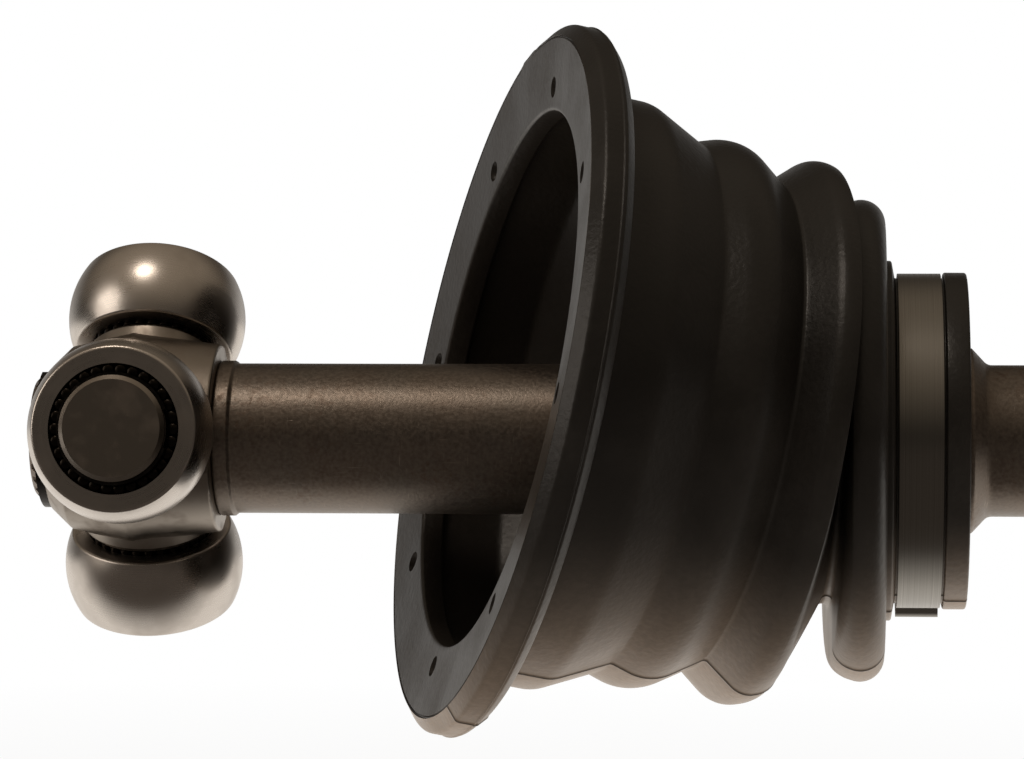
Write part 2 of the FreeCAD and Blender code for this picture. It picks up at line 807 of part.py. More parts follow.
def make_inner_race():
    """Ball-shaped inner race with six grooves and a splined bore."""
    race = Part.makeSphere(inner_race_r)
    race = race.common(disc(2 * inner_race_r, -inner_race_half, inner_race_half))
    race = cut_each(race, groove_rings(2 * inner_race_r))
    return at_joint(race.cut(spline(-inner_race_half, inner_race_half, spline_r, spline_teeth, spline_gap)))


def cage_radii():
    inner = inner_race_r + cage_gap
    return inner, inner + cage_wall


def make_joint_cage():
    """Cage with a window for each ball."""
    inner, outer = cage_radii()
    cage = Part.makeSphere(outer).cut(Part.makeSphere(inner))
    cage = cage.common(disc(2 * outer, -cage_half, cage_half))
    width = 2.0 * (ball_r + window_gap)
    length = width + window_play
    window = Part.makeBox(width, length, outer, V(-width / 2.0, -length / 2.0, inner / 2.0))
    window = window.makeFillet(2.0, [e for e in window.Edges if e.BoundBox.ZLength > outer / 2.0])
    return at_joint(cut_each(cage, ring_of(window, ball_count)))


def make_joint_balls():
    ball = Part.makeSphere(ball_r, V(0, 0, ball_pitch_r))
    return at_joint(group(ring_of(ball, ball_count)))


def make_housing():
    """Bell with six grooves, boot seat and the splined stub axle."""
    inner, outer = cage_radii()
    cavity_r = outer + cage_gap
    stub_from = housing_back + stub_seat_len
    spline_from = stub_from + stub_undercut
    spline_to = spline_from + stub_spline_len
    thread_from = spline_to + stub_undercut
    thread_to = thread_from + stub_thread_len
    seat_to = -housing_mouth + housing_seat_len
    stub_root_r = stub_spline_r - spline_depth
    stub_bevel_r = stub_spline_r + seat_gap
    bell = rounded_turning([
        (-housing_mouth, 0), (-housing_mouth, housing_seat_r + housing_bead, 0.8),
        (-housing_mouth + housing_bead_len, housing_seat_r + housing_bead, 0.6),
        (-housing_mouth + housing_bead_len + 0.6, housing_seat_r, 0.4), (seat_to, housing_seat_r, 0.6),
        (seat_to, housing_r, 0.8), (housing_belly_to, housing_r, 6.0),
        (housing_back - 4.0, housing_back_r + 1.0, 3.0), (housing_back, housing_back_r, 0.8),
        (housing_back, stub_seat_r, 1.0),
        (stub_from, stub_seat_r, 0.6), (stub_from, stub_root_r - stub_relief, 0.5),
        (spline_from, stub_root_r - stub_relief), (spline_from, stub_root_r),
        (spline_to, stub_root_r), (spline_to, stub_undercut_r, 0.5),
        (thread_from, stub_undercut_r, 0.5), (thread_from, stub_thread_r),
        (thread_to - stub_chamfer, stub_thread_r), (thread_to, stub_thread_r - stub_chamfer), (thread_to, 0),
    ])
    teeth = spline(spline_from, spline_to, stub_spline_r, spline_teeth)
    bevel = rounded_turning([
        (spline_from, 0), (spline_from, stub_root_r), (spline_from + stub_bevel, stub_bevel_r),
        (spline_to - stub_bevel, stub_bevel_r), (spline_to, stub_root_r), (spline_to, 0),
    ])
    sphere_at = housing_sphere_from
    sphere_r = math.sqrt(cavity_r ** 2 - sphere_at ** 2)
    hollow = Part.makeSphere(cavity_r).common(disc(2 * cavity_r, -sphere_at, housing_cavity))
    flare = rounded_turning([
        (-housing_mouth, 0), (-housing_mouth, housing_mouth_r), (-sphere_at, sphere_r), (-sphere_at, 0),
    ])
    bell = cut_each(bell, [hollow, flare] + groove_rings(housing_groove_to))
    return at_joint(bell.fuse(teeth.common(bevel)).removeSplitter())


def make_race_clip():
    """Ring that keeps the inner race on the bar."""
    inner = clip_seat_r + seat_gap
    return open_ring(inner, inner + race_clip_width, joint_end, race_clip_thick, clip_gap_deg)


def outer_boot_chain():
    """Circles of the wheel-side boot from its small end to its big end."""
    small = joint_distance - small_end_to + pleat_gap
    big = joint_distance - housing_mouth + big_end_margin
    chain = [(small, bar_r + small_end_wall, 0.0, 1)]
    step = (big - pleat_end_run - small) / pleat_count
    for i in range(pleat_count):
        share = i / (pleat_count - 1.0)
        crest = pleat_first_r + (pleat_last_r - pleat_first_r) * share
        chain.append((small + step * (i + 0.5), crest, pleat_round, 1))
        chain.append((small + step * (i + 1.0), crest - pleat_height, valley_round, -1))
    chain.append((big - pleat_end_round, big_end_top() + big_end_wall, pleat_end_round, 1))
    chain.append((big, big_end_top() + big_end_wall, 0.0, 1))
    return chain


def big_end_top():
    """Radius of the boot's big end where it grips the bell's bead."""
    return housing_seat_r + housing_bead + seat_gap


def make_outer_pleats():
    """Bellows of the wheel-side boot, straight."""
    face = wall_face([(-x, r, size, side) for x, r, size, side in reversed(outer_boot_chain())], pleat_wall)
    return revolved(face)


def make_small_end():
    """Boot's small end, seated in the bar's groove."""
    from_x = joint_distance - small_end_from
    to_x = joint_distance - small_end_to
    outer = bar_r + small_end_wall
    return rounded_turning([
        (from_x, bar_r + seat_gap), (from_x, outer, 0.5), (to_x, outer, 0.3), (to_x, bar_r + seat_gap),
        (to_x - small_groove_slope, bar_r - small_groove + seat_gap),
        (from_x + small_groove_slope, bar_r - small_groove + seat_gap),
    ])


def make_big_end():
    """Boot's big end, seated over the bell's bead."""
    bead_end = joint_distance - housing_mouth + housing_bead_len + 0.6
    from_x = joint_distance - housing_mouth + big_end_margin
    to_x = joint_distance - housing_mouth + housing_seat_len - 0.5
    top = big_end_top()
    outer = top + big_end_wall
    return rounded_turning([
        (from_x, top, 0.0), (from_x, outer, 0.6), (to_x, outer, 0.6), (to_x, housing_seat_r + seat_gap),
        (bead_end + 0.2, housing_seat_r + seat_gap), (bead_end, top),
    ])


def outer_clamp(seat, middle):
    """Band clamp round one end of the wheel-side boot."""
    half = outer_clamp_width / 2.0
    return make_band_clamp(seat + seat_gap, middle - half, middle + half, outer_clamp_turn_deg)


def make_pieces():
    """Every node of the drive shaft by name."""
    pieces = {
        "drive_shaft_bar": make_bar(),
        "spider": make_spider(),
        "spider_circlip": make_spider_clip(),
    }
    for i in range(trunnion_count):
        number = str(i + 1)
        pieces["trunnion_washer_" + number] = on_trunnion(make_trunnion_washer(), i)
        pieces["needle_rollers_" + number] = on_trunnion(make_needles(), i)
        pieces["needle_clip_" + number] = on_trunnion(make_needle_clip(), i)
        pieces["tripod_roller_" + number] = on_trunnion(make_roller(), i)
    pieces["bearing_inner_ring"] = make_inner_ring()
    pieces["bearing_outer_ring"] = make_outer_ring()
    pieces["bearing_balls"] = make_bearing_balls()
    pieces["bearing_cage"] = make_bearing_cage()
    pieces["bearing_seal_gearbox_side"] = make_seal(-1)
    pieces["bearing_seal_wheel_side"] = make_seal(1)
    pieces["bearing_circlip"] = make_bearing_clip()
    pieces["boot_collar"] = make_boot_collar()
    pieces["boot_bend_pleat"] = make_pleat(3, pleat_margin, middle_fold_s - pleat_margin)
    pieces["boot_middle_fold"] = make_middle_fold()
    pieces["boot_plunge_pleat"] = make_pleat(5, middle_fold_s + pleat_margin, mouth_fold_s - pleat_margin)
    pieces["boot_mouth"] = make_boot_mouth()
    pieces["boot_insert_ring"] = make_insert_ring()
    clamp_to_x = bearing_x + clamp_to - clamp_gap
    clamp_from_x = bearing_x - clamp_from + clamp_gap
    pieces["boot_clamp"] = make_band_clamp(clamp_seat_r, clamp_from_x, clamp_to_x, boot_clamp_turn_deg)
    pieces["joint_housing"] = make_housing()
    pieces["joint_inner_race"] = make_inner_race()
    pieces["joint_cage"] = make_joint_cage()
    pieces["joint_balls"] = make_joint_balls()
    pieces["joint_circlip"] = make_race_clip()
    pieces["outer_boot_small_end"] = make_small_end()
    pieces["outer_boot_pleats"] = make_outer_pleats()
    pieces["outer_boot_big_end"] = make_big_end()
    small_middle = joint_distance - (small_end_from + small_end_to) / 2.0
    big_middle = joint_distance - housing_mouth + housing_seat_len / 2.0 + big_end_margin / 2.0
    pieces["outer_boot_small_clamp"] = outer_clamp(bar_r + small_end_wall, small_middle)
    pieces["outer_boot_big_clamp"] = outer_clamp(big_end_top() + big_end_wall, big_middle)
    return pieces


os.makedirs("parts", exist_ok=True)
for name, shape in make_pieces().items():
    if not shape.isValid() or not shape.Solids:
        raise ValueError("bad solid: " + name)
    shape.exportStep("parts/" + name + ".step")
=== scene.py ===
import math

import bpy
import numpy as np
from mathutils import Matrix, Vector


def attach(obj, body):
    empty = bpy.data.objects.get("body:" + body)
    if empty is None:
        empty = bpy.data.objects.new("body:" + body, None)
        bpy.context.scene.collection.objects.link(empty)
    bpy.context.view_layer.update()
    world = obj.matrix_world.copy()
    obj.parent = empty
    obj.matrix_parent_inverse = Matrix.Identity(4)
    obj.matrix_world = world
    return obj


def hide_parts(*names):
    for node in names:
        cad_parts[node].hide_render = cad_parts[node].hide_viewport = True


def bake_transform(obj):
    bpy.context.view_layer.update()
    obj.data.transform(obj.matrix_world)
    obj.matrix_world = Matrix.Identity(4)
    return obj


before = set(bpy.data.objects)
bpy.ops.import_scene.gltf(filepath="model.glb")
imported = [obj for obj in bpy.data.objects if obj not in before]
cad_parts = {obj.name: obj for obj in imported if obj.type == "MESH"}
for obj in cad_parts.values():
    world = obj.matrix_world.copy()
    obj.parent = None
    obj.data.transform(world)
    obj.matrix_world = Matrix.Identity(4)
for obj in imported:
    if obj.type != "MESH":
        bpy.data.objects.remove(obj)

bl_info = {
    "name": "Drive shaft",
    "version": (1, 0, 0),
    "blender": (4, 5, 0),
    "location": "3D View > Sidebar > Drive shaft",
    "description": "Rubber boots and finishes of a car drive shaft",
    "category": "Object",
}

MM = 0.001
SHARP_DEG = 35.0          # edges that turn more stay sharp
WHITE = (1.0, 1.0, 1.0, 1.0)
TRUNNION_DEG = 86.16      # turn of the first trunnion about +X from +Z
NEEDLE_COUNT = 30         # needles of one roller
NEEDLE_R, NEEDLE_CIRCLE_R, NEEDLE_FROM, NEEDLE_TO = 1.12, 10.995, 18.35, 35.23
BEARING_X = 148.7
JOINT_X = 480.0
SHOULDER_X = 515.0        # end of the bell, where the bare stub axle begins

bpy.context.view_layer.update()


def colour_from_hex(text):
    """sRGB hex to linear red, green, blue and alpha."""
    part = np.array([int(text[i:i + 2], 16) for i in (1, 3, 5)]) / 255.0
    linear = np.where(part <= 0.04045, part / 12.92, ((part + 0.055) / 1.055) ** 2.4)
    return (*linear.tolist(), 1.0)


def length_property(name, description, default):
    """A length in metres, given in millimetres."""
    return bpy.props.FloatProperty(
        name=name, description=description, default=default * MM, unit="LENGTH")


def colour_property(name, description, default):
    return bpy.props.FloatVectorProperty(
        name=name, description=description, default=colour_from_hex(default), size=4, subtype="COLOR",
        min=0.0, max=1.0)


class BootSizes(bpy.types.PropertyGroup):
    """Sizes of the moulded boots that can be changed without the solids."""
    flash_height: length_property("Mould line height", "Height of the line where the halves met", 0.28)
    flash_width: length_property("Mould line width", "Width of that line", 0.32)
    nub_height: length_property("Nub height", "Rubber left where the mould was filled", 1.3)
    orange_peel: length_property("Skin ripple", "Height of the slight ripple of moulded rubber", 0.05)


class Finishes(bpy.types.PropertyGroup):
    """Colours of the finishes."""
    rubber: colour_property("Boot rubber", "Moulded rubber of the gearbox-side boot", "#1b1917")
    rubber_dust: colour_property("Rubber bloom", "Greyish bloom on the rubber's skin", "#2e2b28")
    elastomer: colour_property("Wheel-side boot", "Blow-moulded elastomer", "#1d1d1e")
    bar: colour_property("Bar", "Dark heat-treated steel of the bar", "#6d665f")
    rust: colour_property("Rust", "Light rust on bare steel", "#5c4433")
    roller: colour_property("Rollers", "Ground bearing steel", "#d0c9c2")
    hub: colour_property("Spider", "Machined forging", "#999188")
    housing: colour_property("Housing", "Phosphated forging", "#34322f")
    machined: colour_property("Machined faces", "Turned and ground steel", "#9a958e")
    clamp: colour_property("Clamps", "Stainless band", "#a5a29c")
    floor: colour_property("Floor", "Pale studio floor", "#f4f3f1")


# Boot outline: rounded crests and valleys joined by straight walls
def belt_of(chain, inset, step=0.35):
    """Profile over crests and under valleys. Each (distance, radius, rounding, side) is a circle that touches
    the given radius; the line is the tangents between following circles and the arcs over them, moved in by
    inset."""
    links = []
    for i, (distance, radius, rounding, side) in enumerate(chain):
        ended = i in (0, len(chain) - 1)
        size = 0.0 if ended else rounding - side * inset
        height = radius - inset if ended else radius - side * rounding
        links.append((distance, height, size, side))
    angles = []
    for (x0, r0, size0, side0), (x1, r1, size1, side1) in zip(links[:-1], links[1:]):
        span = math.hypot(x1 - x0, r1 - r0)
        angles.append(math.atan2(r1 - r0, x1 - x0) - math.asin((side0 * size0 - side1 * size1) / span))
    runs = []
    for i, (x, r, size, side) in enumerate(links):
        first, last = angles[max(i - 1, 0)], angles[min(i, len(angles) - 1)]
        count = max(2, int(abs(last - first) * size / step) + 3) if size else 1
        turn = np.linspace(first, last, count)
        runs.append(np.stack([x - side * size * np.sin(turn), r + side * size * np.cos(turn)], 1))
    joined = [runs[0]]
    for run in runs[1:]:
        start = joined[-1][-1]
        count = max(2, int(np.linalg.norm(run[0] - start) / 0.8) + 2)
        joined.append(start + (run[0] - start) * np.linspace(0, 1, count)[1:-1, None])
        joined.append(run)
    return np.concatenate(joined)


def rounded_path(corners, step=0.3):
    """Open profile through (distance, radius, rounding) corners: an arc tangent to both sides at each rounded
    corner, straight lines between."""
    points = [np.array([corners[0][:2]], float)]
    for before, here, after in zip(corners[:-2], corners[1:-1], corners[2:]):
        a, p, b = (np.array(q[:2], float) for q in (before, here, after))
        fillet = here[2] if len(here) > 2 else 0.0
        back, on = (a - p) / np.linalg.norm(a - p), (b - p) / np.linalg.norm(b - p)
        half = math.acos(float(np.clip(back @ on, -1, 1))) / 2.0
        if fillet <= 0.0 or half > math.radians(89.0):
            points.append(p[None])
            continue
        centre = p + (back + on) / np.linalg.norm(back + on) * fillet / math.sin(half)
        first, last = p + back * fillet / math.tan(half) - centre, p + on * fillet / math.tan(half) - centre
        sweep = math.pi - 2.0 * half
        turn = np.linspace(0, 1, max(4, int(sweep * fillet / step) + 3))[:, None] * sweep
        points.append(centre + (first * np.sin(sweep - turn) + last * np.sin(turn)) / math.sin(sweep))
    points.append(np.array([corners[-1][:2]], float))
    return np.concatenate(points)


def filled(profile, step):
    """Profile with points added, so that no run is longer than a step."""
    pieces = []
    for a, b in zip(profile[:-1], profile[1:]):
        count = max(1, int(math.ceil(np.linalg.norm(b - a) / step)))
        pieces.append(a + (b - a) * np.linspace(0, 1, count, endpoint=False)[:, None])
    return np.concatenate(pieces + [profile[-1:]])


def clipped(profile, low, high):
    """Part of an open profile between two distances, with exact ends."""
    s = profile[:, 0]
    ends = [np.array([[at, np.interp(at, s, profile[:, 1])]]) for at in (low, high)]
    return np.concatenate([ends[0], profile[(s > low + 1e-4) & (s < high - 1e-4)], ends[1]])


# Gearbox-side boot: its axis and outline
BOOT_X = 137.2
WALL = 2.5
TURNS = 240               # even steps round the boot, before the finer ones
RIPPLE_WAVE = 9.0
LEAN = math.radians(55.0)
BEND_SIDE = np.array([0.0, -math.sin(LEAN), math.cos(LEAN)])
BEND_AXIS = np.array([0.0, math.cos(LEAN), math.sin(LEAN)])
BEND_FROM, BEND_TO, PLUNGE_FROM, PLUNGE_TO = 1.6, 16.2, 19.4, 35.7
STRETCH_FROM, STRETCH_TO = -0.5, 9.5    # along the bend's chord: the rubber that gives when the boot tilts
KNOTS_S = np.array([-20.0, BEND_FROM, BEND_TO, PLUNGE_FROM, PLUNGE_TO, 90.0])
KNOTS_TILT = np.radians([0.0, 0.0, 17.8, 17.8, 20.0, 20.0])
BOOT_CHAIN = [
    (-7.3, 34.1, 0.0, 1), (-4.9, 34.1, 0.9, -1), (0.0, 45.7, 4.6, 1), (5.7, 31.1, 0.9, -1),
    (17.8, 52.2, 4.7, 1), (26.1, 47.0, 0.9, -1), (37.3, 52.5, 9.0, 1), (43.5, 51.0, 0.9, -1),
    (55.8, 56.2, 6.3, 1), (66.9, 56.2, 0.0, 1),
]
RIM_BACK, RIM_FRONT, RIM_R, FACE_R, MOUTH_R, SET_BACK = 65.4, 73.2, 67.4, 64.7, 51.0, 1.75
SWEEP_R = 86.5    # what the rim clears when the boot turns on the bar; the floor lies below it
PIN_COUNT = 8             # marks of the pins that held the rim's steel ring in the mould
PIN_CIRCLE, PIN_R, PIN_DEPTH, PIN_TURN = 55.3, 2.0, 1.4, 1.0
MOULD_LINES_DEG = (158.0, -22.0)    # about +X from +Z: near the bottom on one side, near the top on the other


def boot_axis(s):
    """Centre and cross direction of the boot at each distance s: the tilt runs between the knots as a
    straight function of s, and the centre is its running integral along the bent axis."""
    fine = np.linspace(-20.0, 90.0, 4401)
    tilt = np.interp(fine, KNOTS_S, KNOTS_TILT)
    ahead = -np.cos(tilt)[:, None] * [1.0, 0.0, 0.0] + np.sin(tilt)[:, None] * BEND_SIDE
    steps = (ahead[1:] + ahead[:-1]) / 2.0 * np.diff(fine)[:, None]
    centre = np.concatenate([np.zeros((1, 3)), np.cumsum(steps, 0)])
    zero = np.array([np.interp(0.0, fine, centre[:, k]) for k in range(3)])
    at = np.stack([np.interp(s, fine, centre[:, k]) - zero[k] for k in range(3)], -1) + [BOOT_X, 0.0, 0.0]
    here = np.interp(s, KNOTS_S, KNOTS_TILT)
    across = np.cos(here)[..., None] * BEND_SIDE + np.sin(here)[..., None] * np.array([1.0, 0.0, 0.0])
    return at, across


def bent(s, r, turn):
    """Points of the boot: at distance s, radius r and turn from the bend's side, the centre plus the radius
    along cos(turn) times the cross direction less sin(turn) times the bend's axis."""
    at, across = boot_axis(s)
    return at + r[..., None] * (np.cos(turn)[..., None] * across - np.sin(turn)[..., None] * BEND_AXIS)


def straight(x, r, turn):
    """Points of a turned part on the bar: x along the bar and radius r, turned from +Z towards -Y."""
    return np.stack([x, -r * np.sin(turn), r * np.cos(turn)], -1)


def lines_near(turn, r, width):
    """Share of the mould line at each point: a bell curve of the arc length to the nearer line."""
    found = np.zeros(np.broadcast(turn, r).shape)
    for degrees in MOULD_LINES_DEG:
        away = (turn - math.radians(degrees) + LEAN + math.pi) % (2.0 * math.pi) - math.pi
        found = np.maximum(found, np.exp(-(away * r / width) ** 2))
    return found


def bloom_and_painted_underlight_at(s, turn, inside):
    """Share of the pale coat. Outside it is painted light from below: none on top, the square of how far a
    place faces down below, more past the lower mould line. Inside it is a thin even bloom."""
    across = boot_axis(s)[1]
    down = np.clip(-0.6 - 1.7 * (np.cos(turn) * across[..., 2] - np.sin(turn) * BEND_AXIS[2]), 0.0, 1.0) ** 2
    past = (np.degrees(turn + LEAN) - MOULD_LINES_DEG[0]) % 360.0 < 180.0
    return np.where(inside, 0.06, down * np.where(past, 1.0, 0.72))


def turns_for(lines, pins=()):
    """Turns round a boot: even steps, with more of them beside the mould lines and the pin marks."""
    turn = np.linspace(0.0, 2.0 * math.pi, TURNS, endpoint=False)
    for centre, offsets in [*((line, lines[1]) for line in lines[0]), *pins]:
        low, high = offsets.min(), offsets.max()
        away = (turn - centre + math.pi) % (2.0 * math.pi) - math.pi
        turn = np.concatenate([turn[(away < low - 0.004) | (away > high + 0.004)], centre + offsets])
    return np.sort(turn % (2.0 * math.pi))


def make_object(name, points, faces, attributes=()):
    """Object of points in millimetres and of arrays of faces, one row of corners per face."""
    sizes = np.concatenate([np.full(len(part), part.shape[1]) for part in faces])
    corners = np.concatenate([part.ravel() for part in faces])
    mesh = bpy.data.meshes.new(name)
    mesh.vertices.add(len(points))
    mesh.vertices.foreach_set("co", (points * MM).astype(np.float32).ravel())
    mesh.loops.add(len(corners))
    mesh.loops.foreach_set("vertex_index", corners.astype(np.int32))
    mesh.polygons.add(len(sizes))
    mesh.polygons.foreach_set("loop_start", (np.cumsum(sizes) - sizes).astype(np.int32))
    mesh.update(calc_edges=True)
    mesh.polygons.foreach_set("use_smooth", np.ones(len(sizes), bool))
    mesh.set_sharp_from_angle(angle=math.radians(SHARP_DEG))
    for label, values in attributes:
        stored = mesh.attributes.new(label, "FLOAT", "POINT")
        stored.data.foreach_set("value", values.astype(np.float32).ravel())
    made = bpy.data.objects.new(name, mesh)
    bpy.context.scene.collection.objects.link(made)
    return made


def put_mesh(name, grid, attributes=()):
    """Mesh of a grid of points that closes both ways. Rows follow the section, columns the turn."""
    rows, columns = grid.shape[:2]
    index = np.arange(rows * columns).reshape(rows, columns)
    down, right = np.roll(index, -1, 0), np.roll(index, -1, 1)
    quads = np.stack([index, down, np.roll(down, -1, 1), right], -1).reshape(-1, 4)
    points = grid.reshape(-1, 3)
    a, b, c, d = (points[quads[:, k]] for k in range(4))
    volume = np.einsum("ij,ij->i", a, np.cross(b, c)) + np.einsum("ij,ij->i", a, np.cross(c, d))
    if volume.sum() < 0.0:
        quads = quads[:, ::-1]
    return make_object(name, points, [quads], attributes)


def ripple(points):
    """Slight unevenness: three crossed sines of the place, with waves a few wave lengths apart."""
    x, y, z = (points[..., k] / RIPPLE_WAVE for k in range(3))
    return (np.sin(1.7 * x + 2.3 * np.sin(0.9 * y)) + np.sin(2.1 * y + 1.9 * np.sin(1.1 * z))
            + np.sin(1.3 * z + 2.7 * np.sin(0.7 * x))) / 3.0


def boot_skin(name, outside, inside, turn, sizes):
    """Closed wall of the boot from its outside and inside sections, carried round its bent axis. The outside
    is raised by the mould lines and the ripple."""
    section = np.concatenate([outside, inside[::-1]])
    s = section[:, :1] + 0.0 * turn
    r = section[:, 1:] + 0.0 * turn
    turn = turn + 0.0 * s
    line = lines_near(turn, r, sizes.flash_width / MM)
    out = (np.arange(len(section)) < len(outside))[:, None]
    wave = ripple(bent(s, r, turn)) * sizes.orange_peel / MM
    grown = r + out * (line * sizes.flash_height / MM + wave)
    # bloom attribute: painted light from below where the outside faces down, a thin even bloom inside
    attributes = [("mould_line", line * out), ("bloom", bloom_and_painted_underlight_at(s, turn, ~out))]
    return put_mesh(name, bent(s, grown, turn), attributes)


# Materials
def add(tree, kind, inputs=None, **settings):
    """Add a shader node with its settings, and fill its inputs with values or links."""
    made = tree.nodes.new("ShaderNode" + kind)
    for key, value in settings.items():
        setattr(made, key, value)
    for key, value in (inputs or {}).items():
        if isinstance(value, bpy.types.NodeSocket):
            tree.links.new(value, made.inputs[key])
        else:
            made.inputs[key].default_value = value
    return made


def grain(tree, size_mm, low=0.4, high=0.6, detail=4.0, place=None):
    """Mask from 0 to 1 of patches of that size: noise of the place, stretched from low to high."""
    if place is None:
        place = add(tree, "TexCoord").outputs["Object"]
    noise = add(tree, "TexNoise", {"Vector": place, "Scale": 1.0 / (size_mm * MM), "Detail": detail})
    return add(tree, "MapRange", {
        "Value": noise.outputs["Fac"], "From Min": low, "From Max": high}).outputs[0]


def turned_marks(tree, axis, pitch_mm):
    """Fine turning marks about an axis: noise of the distance from the axis plus the distance along it."""
    place = add(tree, "TexCoord").outputs["Object"]
    crossed = add(tree, "VectorMath", {0: place, 1: axis}, operation="CROSS_PRODUCT").outputs[0]
    away = add(tree, "VectorMath", {0: crossed}, operation="LENGTH").outputs["Value"]
    along = add(tree, "VectorMath", {0: place, 1: axis}, operation="DOT_PRODUCT").outputs["Value"]
    both = add(tree, "Math", {0: away, 1: along}, operation="ADD").outputs[0]
    noise = add(tree, "TexNoise", {"W": both, "Scale": 1.0 / (pitch_mm * MM), "Detail": 3.0},
                noise_dimensions="1D")
    return noise.outputs["Fac"]


def coated(tree, base, *coats):
    """Colour of a base under coats. Each coat is a mask, the share it covers where the mask is 1, and its
    colour."""
    for mask, share, colour in coats:
        cover = add(tree, "Math", {0: mask, 1: share}, operation="MULTIPLY").outputs[0]
        base = add(tree, "Mix", {0: cover, 6: base, 7: colour}, data_type="RGBA").outputs[2]
    return base


def new_material(name, metallic, roughness, **sockets):
    """Material with its flat share of metal and roughness; dress lays the patterned roughness over it."""
    material = bpy.data.materials.new(name)
    material.use_nodes = True
    shader = material.node_tree.nodes["Principled BSDF"]
    shader.inputs["Metallic"].default_value = metallic
    shader.inputs["Roughness"].default_value = roughness
    for key, value in sockets.items():
        shader.inputs[key].default_value = value
    return material, material.node_tree, shader


def dress(tree, shader, colour, mask, roughness, height, depth_mm, strength=1.0):
    """Colour, roughness that goes from its first to its second value with the mask, and relief from a height
    between 0 and 1 that stands for a depth in millimetres."""
    tree.links.new(colour, shader.inputs["Base Color"])
    spread = add(tree, "MapRange", {"Value": mask, "To Min": roughness[0], "To Max": roughness[1]})
    tree.links.new(spread.outputs[0], shader.inputs["Roughness"])
    bump = add(tree, "Bump", {"Height": height, "Distance": depth_mm * MM, "Strength": strength})
    tree.links.new(bump.outputs["Normal"], shader.inputs["Normal"])


def moulded_rubber(colours):
    """Compression-moulded rubber: a dark satin skin with a patchy grey bloom, paler where it faces down with
    painted light from below, dark along the mould lines, and with a few light specks of mould dust."""
    material, tree, shader = new_material("moulded_rubber", 0.0, 0.4, IOR=1.5)
    fine = grain(tree, 1.1, 0.35, 0.75, 2.0)
    uneven = add(tree, "MapRange", {"Value": fine, "To Min": 0.5, "To Max": 1.0}).outputs[0]
    patchy = add(tree, "Math", {0: grain(tree, 14.0, 0.38, 0.72), 1: uneven}, operation="MULTIPLY").outputs[0]
    chalky = add(tree, "MapRange", {"Value": fine, "To Min": 0.8, "To Max": 1.0}).outputs[0]
    # Pale coat towards #8d7f72: painted light from below on the outside's downward faces, a thin even bloom
    # inside
    bloom = add(tree, "Attribute", attribute_name="bloom").outputs["Fac"]
    bloom = add(tree, "Math", {0: bloom, 1: chalky}, operation="MULTIPLY").outputs[0]
    place = add(tree, "TexCoord").outputs["Object"]
    cells = add(tree, "TexVoronoi", {"Vector": place, "Scale": 1.0 / (9.0 * MM)}).outputs
    dot = add(tree, "MapRange", {"Value": cells["Distance"], "From Min": 0.05, "From Max": 0.035}).outputs[0]
    rare = add(tree, "MapRange", {"Value": cells["Color"], "From Min": 0.86, "From Max": 0.9}).outputs[0]
    specks = add(tree, "Math", {0: dot, 1: rare}, operation="MULTIPLY").outputs[0]
    line = add(tree, "Attribute", attribute_name="mould_line").outputs["Fac"]
    colour = coated(
        tree, colours.rubber, (patchy, 0.55, colours.rubber_dust), (bloom, 1.0, colour_from_hex("#8d7f72")),
        (specks, 1.0, colour_from_hex("#8d8578")), (line, 0.9, colour_from_hex("#0b0a09")))
    dress(tree, shader, colour, patchy, (0.34, 0.5), fine, 0.05, 0.6)
    return material


def blown_elastomer(colours):
    """Blow-moulded polyester elastomer: black, harder and glossier than rubber, with faint flow marks."""
    material, tree, shader = new_material("blown_elastomer", 0.0, 0.38, IOR=1.5)
    flow = grain(tree, 6.0, 0.35, 0.7)
    colour = coated(tree, colours.elastomer, (flow, 0.4, colour_from_hex("#2c2c2d")))
    dress(tree, shader, colour, flow, (0.32, 0.48), grain(tree, 0.8, 0.3, 0.7, 2.0), 0.03, 0.5)
    return material


def seal_rubber():
    """Nitrile seal: matt brown-black with a fine texture."""
    material, tree, shader = new_material("nitrile_rubber", 0.0, 0.6)
    fine = grain(tree, 0.6, 0.3, 0.7)
    colour = coated(tree, colour_from_hex("#1b1512"), (fine, 1.0, colour_from_hex("#2a201b")))
    dress(tree, shader, colour, fine, (0.6, 0.6), fine, 0.03)
    return material


def ground_steel(name, colour, axis, stain="#7d6f62"):
    """Ground and lapped bearing steel: satin, with faint marks round its axis and thin brown oil stains."""
    material, tree, shader = new_material(name, 1.0, 0.2)
    marks = turned_marks(tree, axis, 0.35)
    stains = grain(tree, 7.0, 0.45, 0.75)
    worn = add(tree, "Mix", {0: 0.6, 2: marks, 3: stains}, data_type="FLOAT").outputs[0]
    stained = coated(tree, colour, (stains, 0.25, colour_from_hex(stain)))
    dress(tree, shader, stained, worn, (0.24, 0.4), marks, 0.004, 0.5)
    return material


